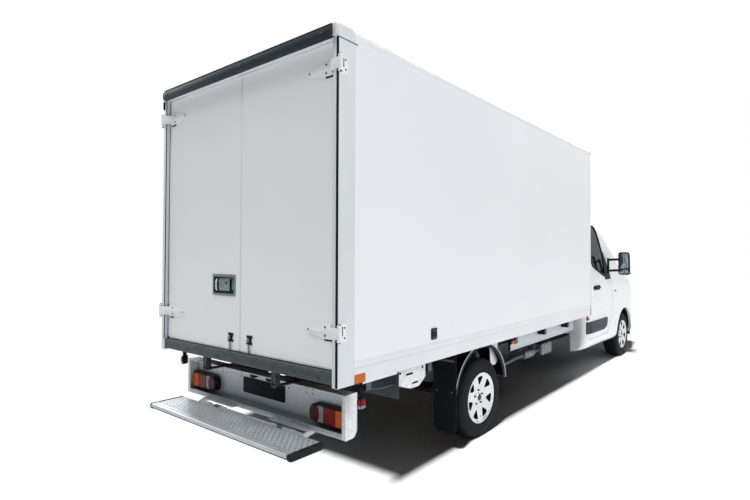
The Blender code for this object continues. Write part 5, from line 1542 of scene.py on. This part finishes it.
def panel(outline, throw, out=0.0, thick=0.03, corner=0.03, hole=None, rings=9, count=144, roll=0.003,
          centre=None, **more):
    """Rings from the middle or the hole to the outline, rolled at the edge, then back again further in."""
    loop = rounded(outline, corner, 6)
    if hole is None:
        edge = even(loop, count)
        centre = edge.mean(0) if centre is None else np.array(centre)
        start = centre + (edge - centre) * 0.02
    else:
        inner = rounded(hole, corner, 6)
        centre = even(inner, 400).mean(0)
        edge, start = seen_from(loop, centre, count), seen_from(inner, centre, count)
    share = np.concatenate([np.linspace(0, 1, rings) ** 0.85 * 0.985, [0.995, 1.0]])
    flat = start[None] + (edge - start)[None] * share[:, None, None]
    drop = np.concatenate([np.zeros(rings), [roll * 0.35, roll]])
    if hole is not None:
        drop[0] = roll
    outs = np.broadcast_to((out - drop)[:, None], flat.shape[:2])
    front = throw(flat, outs, **more)
    back = throw(flat[::-1], np.full(flat.shape[:2], out - thick), **more)
    return loft(np.concatenate([front, back]), caps=hole is None, closed=hole is not None)


DOOR_VIEW = [(2.722, 0.482), (3.5, 0.482), (3.62, 0.66), (3.698, 0.92), (3.698, 1.28), (3.36, 1.8),
             (3.235, 2.035), (3.18, 2.078), (2.8, 2.078), (2.722, 2.0)]
GLASS_VIEW = [(2.79, 1.64), (2.94, 1.46), (3.38, 1.315), (3.415, 1.335), (3.41, 1.62), (3.275, 1.965),
              (3.22, 2.02), (2.85, 2.02), (2.79, 1.96)]
SCREEN_VIEW = [(-0.875, 1.458), (0.875, 1.458), (0.757, 2.065), (0.715, 2.098), (-0.715, 2.098),
               (-0.757, 2.065)]
BONNET_VIEW = [(4.472, -0.797), (4.918, -0.757), (4.998, -0.617), (4.998, 0.617), (4.918, 0.757),
               (4.472, 0.797)]
LAMP_VIEW = [(0.64, 0.832), (0.985, 0.832), (1.0, 1.03), (0.8, 1.03), (0.64, 0.955)]
ARCH_R = 0.43

# %% Cab shell: outer skin, inner skin, and the openings cut through both
def skin_loft(inset, sections=120, around=220):
    """Rays from the middle of each station's cross-section out to the skin, packed closer near the nose."""
    s = np.linspace(0, 1, sections)
    x = 2.6 + inset + (5.1565 - inset - 2.6 - inset) * (1 - (1 - s) ** 1.7)
    x = np.sort(np.concatenate([x, 2.6 + inset + np.array([0.003, 0.007, 0.012, 0.02, 0.03, 0.045])]))
    turn = np.linspace(0, 2 * math.pi, around, endpoint=False) + 0.01
    middle = (np.interp(x, TOP[:, 0], TOP[:, 1]) + np.interp(x, BOTTOM[:, 0], BOTTOM[:, 1])) / 2
    start = np.stack(np.broadcast_arrays(x[:, None], 0.0, middle[:, None] + turn[None, :] * 0), -1)
    way = np.stack(np.broadcast_arrays(x[:, None] * 0, np.cos(turn)[None, :], np.sin(turn)[None, :]), -1)
    return loft(meet(start, way, 2.4, inset))


def solid(name, shape):
    """A closed mesh object for cutting with."""
    mesh = bpy.data.meshes.new(name)
    mesh.from_pydata((shape[0] + (AXLE_X, 0, 0)).tolist(), [], shape[1])
    work = bmesh.new()
    work.from_mesh(mesh)
    bmesh.ops.remove_doubles(work, verts=work.verts, dist=0.00002)
    bmesh.ops.recalc_face_normals(work, faces=work.faces)
    work.to_mesh(mesh)
    work.free()
    made = bpy.data.objects.new(name, mesh)
    bpy.context.scene.collection.objects.link(made)
    return made


def prism(outline, axis, low, high, corner=0.0):
    """An outline carried straight along an axis, with square edges."""
    return plate(outline, axis, low, high, edge=0, corner=corner, corner_steps=6)


def widened(outline, gap):
    """The outline moved outwards, for an opening with a shut line round its panel."""
    return shrunk(np.array(outline, float), -gap)


outer = solid("cab_outer", skin_loft(0.0))
inner = solid("cab_inner", skin_loft(0.035))
cuts = [prism([(2.5, 0.2), (3.84, 0.2), (3.84, 0.552), (2.5, 0.552)], "y", -0.775, 0.775),
        prism(widened(SCREEN_VIEW, 0.003), "x", 3.3, 4.75, 0.05),
        prism(widened(BONNET_VIEW, 0.004), "z", 1.1, 1.6, 0.05)]
for _, side in SIDES:
    cuts += [sided(prism(widened(DOOR_VIEW, 0.004), "y", 0.7, 1.2, 0.034), side),
             sided(turned([(0, 0.562), (ARCH_R, 0.562), (ARCH_R, 1.2), (0, 1.2)], (FRONT_AXLE, 0, TYRE_R),
            "y", 72), side)]
cutter = solid("cab_cuts", join(*cuts))
for tool in (inner, cutter):
    change = outer.modifiers.new("cut", "BOOLEAN")
    change.operation, change.solver, change.object = "DIFFERENCE", "EXACT", tool
bpy.context.view_layer.update()
cut_mesh = bpy.data.meshes.new_from_object(outer.evaluated_get(bpy.context.evaluated_depsgraph_get()))
count = len(cut_mesh.vertices)
co = np.empty(count * 3, np.float32)
cut_mesh.vertices.foreach_get("co", co)
shell_shape = (co.reshape(-1, 3).astype(float) - (AXLE_X, 0, 0),
               [list(p.vertices) for p in cut_mesh.polygons])
for tool in (outer, inner, cutter):
    bpy.data.objects.remove(tool, do_unlink=True)
piece("cab_skin", shell_shape, "body_paint", slot="white_paint", replaces=["cab_shell"], soft_angle=32)
print("cab skin", len(shell_shape[1]), "faces")

# %% Doors, panes, screen and bonnet
for side_name, side in SIDES:
    door = f"cab_door_{side_name}"
    leaf = panel(DOOR_VIEW, on_side, 0.0, 0.038, 0.034, hole=GLASS_VIEW, rings=12, count=200)
    handed(side, "door_skin", leaf, "body_paint", door, "white_paint", replaces=[door], soft_angle=40)
    pane = panel(widened(GLASS_VIEW, 0.008), on_side, -0.008, 0.005, 0.035, rings=6, count=120, roll=0.0005)
    handed(side, "door_pane", pane, "side_glass", door, "glass_dark", replaces=[f"door_glass_{side_name}"])
    rubber = panel(widened(GLASS_VIEW, 0.02), on_side, 0.0015, 0.016, 0.035,
                   hole=widened(GLASS_VIEW, -0.006), rings=4, count=160, roll=0.0015)
    handed(side, "window_rubber", rubber, "black_plastic", door)
    pillar = panel([(3.385, 1.255), (3.66, 1.262), (3.6, 1.4), (3.425, 1.68), (3.405, 1.6), (3.4, 1.33)],
                   on_side, 0.0025, 0.012, 0.02, rings=5, count=90, roll=0.0015)
    handed(side, "mirror_sail", pillar, "black_plastic", door)
    lining = panel(widened(DOOR_VIEW, -0.05), on_side, -0.04, 0.014, 0.03, hole=widened(GLASS_VIEW, 0.03),
                   rings=8, count=120)
    handed(side, "door_lining", lining, "grey_plastic", door)
    pull_shape = pillow((3.02, 3.36), (0.925, 0.958), (0.98, 1.03), 0.014, 4)
    handed(side, "door_pull", pull_shape, "black_plastic", door)
screen = panel(SCREEN_VIEW, on_front, -0.006, 0.008, 0.05, rings=12, count=200, roll=0.001)
piece("windscreen_pane", screen, "side_glass", slot="glass_dark", replaces=["windscreen"])
frit = panel(widened(SCREEN_VIEW, 0.002), on_front, 0.0012, 0.01, 0.05, hole=widened(SCREEN_VIEW, -0.03),
             rings=4, count=220, roll=0.001)
piece("windscreen_rubber", frit, "black_plastic")
wipers = []
for start, end in (((0.08, 1.475), (0.66, 1.555)), ((-0.62, 1.475), (-0.06, 1.555))):
    share = np.linspace(0, 1, 16)[:, None]
    run = np.array(start) + (np.array(end) - start) * share
    wipers.append(tube(on_front(run, 0.02 - 0.006 * share[:, 0]), 0.0065, 8))
    blade = run + (0.1, 0.028) * (share - 0.35)
    wipers.append(tube(on_front(blade, 0.01), 0.0055, 8))
    wipers.append(pillow(*[(c - 0.02, c + 0.02) for c in on_front(np.array([start]), 0.012)[0]], 0.012, 4))
piece("windscreen_wipers", join(*wipers), "lock_black")
lid = panel(BONNET_VIEW, on_top, 0.0, 0.03, 0.05, rings=14, count=180)
piece("bonnet_skin", lid, "body_paint", "bonnet", "white_paint", replaces=["bonnet"], soft_angle=40)
piece("bonnet_creases", join(*[tube(on_top(np.stack([np.linspace(4.52, 4.93, 24),
        s * np.linspace(0.62, 0.42, 24)], 1), 0.0), 0.006, 8) for s in (-1, 1)]), "body_paint", "bonnet",
      "white_paint")

# %% [markdown]
# The nose carries the black bumper, a grille, two lamps and the fog lamp pockets. All of them are panels
# on the same skin, standing a few millimetres proud of it.

# %% Bumper, grille, lamps
def on_nose(flat, out=0.0, inset=0.0):
    """Points by angle round the nose and height: rays in plan from a centre behind the front axle."""
    turn, z = flat[..., 0], flat[..., 1]
    start = np.stack([turn * 0 + 4.42, turn * 0, z], -1)
    way = np.stack([np.cos(turn), np.sin(turn), turn * 0], -1)
    return meet(start, way, 1.6, inset) + way * np.asarray(out)[..., None]


bumper_flat = [(-1.1, 0.345), (1.1, 0.345), (1.02, 0.735), (0.72, 0.7), (-0.72, 0.7), (-1.02, 0.735)]
nose = panel(bumper_flat, on_nose, 0.009, 0.022, 0.05, rings=30, count=420, roll=0.006)
piece("bumper_skin", nose, "grey_plastic", slot="black_plastic", replaces=["front_bumper"])
grille_back = panel([(-0.5, 0.735), (0.5, 0.735), (0.56, 0.9), (-0.56, 0.9)], on_front, 0.0015, 0.01, 0.03,
                    rings=8, count=140, start_x=4.5)
piece("grille_back", grille_back, "lock_black")
slats = [panel([(-0.52 - k * 0.012, z), (0.52 + k * 0.012, z), (0.52 + k * 0.012, z + 0.016),
                (-0.52 - k * 0.012, z + 0.016)], on_front, 0.004, 0.006, 0.006, rings=3, count=120,
               roll=0.002, start_x=4.5) for k, z in enumerate((0.752, 0.788, 0.824, 0.86))]
piece("grille_slats", join(*slats), "black_plastic")
intake = panel([(-0.42, 0.455), (0.42, 0.455), (0.46, 0.585), (-0.46, 0.585)], on_nose, 0.0115, 0.006, 0.03,
               rings=12, count=240)
piece("lower_intake", intake, "lock_black")
blades = [panel([(-0.43, z), (0.43, z), (0.43, z + 0.012), (-0.43, z + 0.012)], on_nose, 0.014, 0.004,
                0.005, rings=4, count=160, roll=0.0015) for z in (0.48, 0.512, 0.544)]
piece("intake_blades", join(*blades), "black_plastic")
for side_name, side in SIDES:
    lamp = panel(LAMP_VIEW, on_front, 0.002, 0.014, 0.03, rings=8, count=120, roll=0.004, start_x=4.35)
    handed(side, "headlamp_glass", lamp, "lens_clear", slot="lamp_clear", replaces=[f"headlamp_{side_name}"])
    bowl = panel([(0.7, 0.858), (0.8, 0.858), (0.82, 0.95), (0.72, 0.945)], on_front, 0.0032, 0.004, 0.03,
                 rings=4, count=60, roll=0.001, start_x=4.35)
    amber = panel([(0.9, 0.86), (0.975, 0.86), (0.985, 1.01), (0.92, 1.0)], on_front, 0.0032, 0.004, 0.02,
                  rings=4, count=60, roll=0.001, start_x=4.35)
    handed(side, "headlamp_bowl", bowl, "rim_silver")
    handed(side, "headlamp_amber", amber, "lens_amber")
    fog = panel([(0.62, 0.47), (0.76, 0.47), (0.76, 0.57), (0.62, 0.57)], on_nose, 0.0125, 0.006, 0.04,
                rings=5, count=80, roll=0.003)
    handed(side, "fog_lamp", fog, "lens_clear")
number_front = panel([(-0.26, 0.605), (0.26, 0.605), (0.26, 0.68), (-0.26, 0.68)], on_front, 0.0135, 0.006,
                     0.01, rings=4, count=100, roll=0.0015, start_x=4.5)
piece("number_blank_front", number_front, "lock_black")

# %% [markdown]
# The flank has a grab handle, a rub strip, wheel arch lips, shut lines and a swage that sweeps down from
# the handle. The black liner inside each arch closes the view into the nose.

# %% Handles, rub strips, arches
for side_name, side in SIDES:
    door = f"cab_door_{side_name}"
    cup = panel([(2.885, 1.128), (3.145, 1.128), (3.15, 1.192), (2.88, 1.192)], on_side, 0.0022, 0.01, 0.02,
                rings=5, count=80, roll=0.0015)
    bar_path = np.stack([np.linspace(2.895, 3.135, 15), 1.16 + 0.002 * np.sin(np.linspace(0, math.pi, 15))],
                        1)
    lift = 0.003 + 0.024 * np.sin(np.linspace(0, math.pi, 15)) ** 0.6
    grab = tube(on_side(bar_path, lift), 0.0105, 12)
    lock = bolt(tuple(on_side(np.array([[2.868, 1.16]]))[0]), "y", 1, 0.011, 0.003, 20)
    handed(side, "door_handle", join(cup, grab, lock), "black_plastic", door, "black_plastic")
    strip = panel([(2.735, 0.556), (3.3, 0.556), (3.405, 0.59), (3.436, 0.655), (3.436, 0.716),
                   (2.735, 0.716)], on_side, 0.011, 0.02, [0.008, 0.03, 0.04, 0.03, 0.012, 0.008], rings=7,
                  count=150, roll=0.007)
    groove = panel([(2.75, 0.632), (3.415, 0.632), (3.415, 0.638), (2.75, 0.638)], on_side, 0.0125, 0.004,
                   0.002, rings=2, count=90, roll=0.0008)
    handed(side, "rub_strip", join(strip, groove), "grey_plastic", door, "black_plastic")
    rear_strip = panel([(2.64, 0.556), (2.716, 0.556), (2.716, 0.716), (2.64, 0.716)], on_side, 0.01, 0.018,
                       0.006, rings=4, count=70, roll=0.006)
    handed(side, "corner_strip", rear_strip, "grey_plastic")
    turn = np.radians(np.linspace(-6, 186, 60))
    lip_flat = np.stack([FRONT_AXLE + (ARCH_R + 0.004) * np.cos(turn),
            TYRE_R + (ARCH_R + 0.004) * np.sin(turn)], 1)
    lip_flat = lip_flat[(lip_flat[:, 1] > 0.36) & (lip_flat[:, 0] < 5.05)]
    handed(side, "arch_lip", tube(on_side(lip_flat, -0.003), 0.0065, 8, up=(0, 1, 0)), "body_paint",
           slot="white_paint")
    turn = np.radians(np.linspace(-8, 188, 56))
    reach = np.linspace(0, 1, 8)
    arc_x, arc_z = FRONT_AXLE + (ARCH_R + 0.001) * np.cos(turn), TYRE_R + (ARCH_R + 0.001) * np.sin(turn)
    edge_y = on_side(np.stack([np.minimum(arc_x, 5.0), np.maximum(arc_z, 0.38)], 1), -0.012)[:, 1]
    sheet_points = np.stack([arc_x[:, None] + reach * 0, 0.564 + (edge_y[:, None] - 0.564) * reach[None, :],
            arc_z[:, None] + reach * 0], -1)
    move = np.stack([0.01 * np.cos(turn), turn * 0, 0.01 * np.sin(turn)], 1)
    liner = thickened((sheet_points.reshape(-1, 3), grid_faces(56, 8, False)), np.repeat(move, 8, 0))
    wall = plate(np.stack([arc_x, arc_z], 1), "y", 0.556, 0.562, edge=0)
    handed(side, "arch_liner", join(liner, wall), "lock_black")
    swage = on_side(np.stack([np.linspace(2.745, 3.5, 40), 1.03 - 0.22 * np.linspace(0, 1, 40) ** 2.2], 1),
                    -0.004)
    handed(side, "door_swage", tube(swage, 0.0065, 10), "body_paint", door, "white_paint")
    repeater = panel([(3.8, 1.06), (3.88, 1.06), (3.89, 1.085), (3.79, 1.085)], on_side, 0.003, 0.008, 0.01,
                     rings=4, count=60, roll=0.002)
    handed(side, "repeater", repeater, "lens_amber")

# %% Mirrors
for side_name, side in SIDES:
    body = f"mirror_{side_name}"
    case = pillow((3.572, 3.664), (1.131, 1.298), (1.322, 1.658), 0.04, 7)
    points, faces = case
    lean = (points[:, 2] - 1.32) / 0.34
    bulge = 0.01 * np.sin(lean * math.pi)
    points = points + np.stack([-0.004 + bulge * 0.2, bulge * 0 - 0.006 * lean * (points[:, 1] > 1.2),
            lean * 0], 1)
    points[:, 0] = np.clip(points[:, 0], 3.566, 3.6645)
    arms = [tube(through([(3.475, 1.022, z), (3.5, 1.06, z + 0.002), (3.555, 1.12, z + 0.004),
            (3.6, 1.16, z + 0.004)], 4), 0.0175, 14) for z in (1.385, 1.545)]
    pivot = turned([(0, 1.35), (0.012, 1.35), (0.016, 1.354), (0.016, 1.566), (0.012, 1.57), (0, 1.57)],
                   (3.47, 1.025, 0), "z", 20)
    handed(side, "mirror_case", join((points, faces), *arms, pivot), "black_plastic", body, "black_plastic",
           replaces=[f"mirror_{side_name}"])
    for number, (low, high) in enumerate(((1.418, 1.64), (1.34, 1.404))):
        flat = rounded([(1.148, low), (1.284, low), (1.284, high), (1.148, high)], 0.022, 6)
        handed(side, f"mirror_glass_{number}", plate(flat, "x", 3.5665, 3.572, edge=0.0012), "mirror_glass",
               body)
        ring = framed((1.141, 1.291, low - 0.006, high + 0.006), (1.15, 1.282, low + 0.003, high - 0.003),
                      3.5655, 3.575, 0.0015, 0.022)
        handed(side, f"mirror_rim_{number}", ring, "black_plastic", body)
    blink = pillow((3.586, 3.65), (1.272, 1.3), (1.33, 1.372), 0.012, 4)
    handed(side, "mirror_indicator", blink, "lens_amber", body)

# %% [markdown]
# ## Inside the cab
# Through the glass one sees a dark dashboard, a wheel and two rows of cloth. Cushions are crowned slabs:
# a rounded block whose faces swell by the product of two cosines.

# %% Floor, dashboard, wheel
pan_outline = [(2.64, -0.93), (3.86, -0.93), (3.86, -0.55), (4.68, -0.55), (4.68, 0.55), (3.86, 0.55),
               (3.86, 0.93), (2.64, 0.93)]
piece("cab_floor_pan", plate(pan_outline, "z", 0.5605, 0.6185, edge=0.002), "chassis_paint")
dash_outline = through([(3.775, 0.86), (3.775, 1.0), (3.8, 1.1), (3.84, 1.165), (3.9, 1.19), (4.05, 1.195),
                        (4.2, 1.19), (4.21, 1.05), (4.2, 0.84), (4.0, 0.825), (3.82, 0.83)], 5, True)
dash_shape = plate(dash_outline, "y", -0.955, 0.955, edge=0.02, steps=4)
binnacle = pillow((3.8, 3.98), (0.26, 0.58), (1.14, 1.235), 0.04, 5)
piece("dashboard_moulding", join(dash_shape, binnacle), "grey_plastic")
vents = join(*[turned([(0.028, 0.0), (0.034, -0.006), (0.04, -0.006), (0.042, 0.002)], (3.786, y, 1.07),
                      "x", 24, closed=True) for y in (-0.8, -0.1, 0.1, 0.8)])
console = pillow((3.772, 3.8), (-0.11, 0.11), (0.9, 1.03), 0.01, 4)
piece("dashboard_vents", join(vents, console), "lock_black")
column_way = np.array([math.cos(math.radians(50)), 0, -math.sin(math.radians(50))])
hub = np.array([3.52, 0.42, 1.22])
column = tube([hub + column_way * 0.03, hub + column_way * 0.2, hub + column_way * 0.44],
              [0.035, 0.042, 0.045], 16, up=(0, 1, 0))
piece("steering_column_cover", column, "black_plastic")
turn = np.linspace(0, 2 * math.pi, 64, endpoint=False)
small = np.linspace(0, 2 * math.pi, 12, endpoint=False)
side_way, up_way = np.array([0, 1.0, 0]), np.array([math.sin(math.radians(50)), 0,
        math.cos(math.radians(50))])
radial = np.cos(turn)[:, None] * side_way + np.sin(turn)[:, None] * up_way
ring_points = hub + radial[:, None] * (0.2 + 0.0148 * np.cos(small))[None, :,
        None] - column_way * (0.0148 * np.sin(small))[None, :, None]
spokes = [tube([hub - column_way * 0.004,
                hub + (math.cos(a) * side_way + math.sin(a) * up_way) * 0.1 - column_way * 0.002,
                hub + (math.cos(a) * side_way + math.sin(a) * up_way) * 0.198], [0.02, 0.013, 0.009], 10,
               up=(0.3, 0.9, 0.1)) for a in (0.15, math.pi - 0.15, -math.pi / 2)]
boss = pillow((3.472, 3.56), (0.372, 0.468), (1.18, 1.262), 0.04, 5)
piece("steering_rim", join(loft(ring_points, caps=False, closed=True), *spokes, boss), "black_plastic",
      "steering_wheel", "black_plastic", replaces=["steering_wheel"])

# %% Seats
def cushion(x, y, z, radius, swell):
    """A rounded block whose points move out from its middle by the product of cosines."""
    points, faces = pillow(x, y, z, radius, 6)
    middle, half = np.array([np.mean(x), np.mean(y), np.mean(z)]), np.array([np.ptp(x), np.ptp(y),
            np.ptp(z)]) / 2
    local = (points - middle) / half
    crown = np.cos(np.clip(local[:, 0], -1, 1) * math.pi / 2) * np.cos(np.clip(local[:, 1], -1,
            1) * math.pi / 2)
    points = points + np.stack([crown * 0, crown * 0, np.sign(local[:, 2]) * crown * swell], 1)
    return points, faces


def tilted(shape, pivot, degrees):
    """The shape turned about a cross-car axis."""
    a = math.radians(degrees)
    x, z = shape[0][:, 0] - pivot[0], shape[0][:, 2] - pivot[1]
    return np.stack([pivot[0] + x * math.cos(a) - z * math.sin(a), shape[0][:, 1],
                     pivot[1] + x * math.sin(a) + z * math.cos(a)], 1), shape[1]


seats = []
for low, high in ((-0.775, -0.42), (-0.41, -0.055), (0.165, 0.675)):
    seats.append(cushion((2.93, 3.41), (low, high), (0.8, 0.935), 0.05, 0.014))
    seats.append(tilted(cushion((2.885, 3.005), (low + 0.01, high - 0.01), (0.93, 1.49), 0.05, 0.0),
                        (2.945, 0.93), 12))
    middle = (low + high) / 2
    seats.append(tilted(pillow((2.905, 2.99), (middle - 0.12, middle + 0.12), (1.515, 1.66), 0.04, 5),
                        (2.945, 0.93), 12))
cloth = [piece(f"seat_cloth_{k}", shape, "seat_cloth", slot="seat_cloth",
               replaces=["cab_seats"] if k == 0 else ()) for k, shape in enumerate(seats)]
plinths = join(bar((2.95, 3.36), (-0.74, -0.09), (0.62, 0.8), 0.012, "z"),
               bar((2.95, 3.36), (0.21, 0.63), (0.62, 0.8), 0.012, "z"))
piece("seat_plinths", plinths, "black_plastic")
# %% [markdown]
# ## Finish
# The floor's sun passes by the bumper, the step and the small parts hung behind the body, so the ground
# behind the truck stays bright. The visual model's box is printed at the end. The visual model has to
# stay inside the CAD model's box.

# %% Sizes and finish
SPARED = ("bumper_", "step_", "tread_", "number_", "plate_lamps", "lamp_housing", "tail_", "marker_",
          "hanger_", "rear_sill")
spared = bpy.data.collections.new("spared")
for name in made_pieces:
    if name.startswith(SPARED):
        spared.objects.link(bpy.data.objects[name])
for item in spared.collection_objects:
    item.light_linking.link_state = "EXCLUDE"
floor_sun.light_linking.blocker_collection = spared
low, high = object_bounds()
print(len(made_pieces), "pieces,", sum(made_pieces.values()), "faces")
print("visual box", [round(v, 3) for v in (*low, *high)])
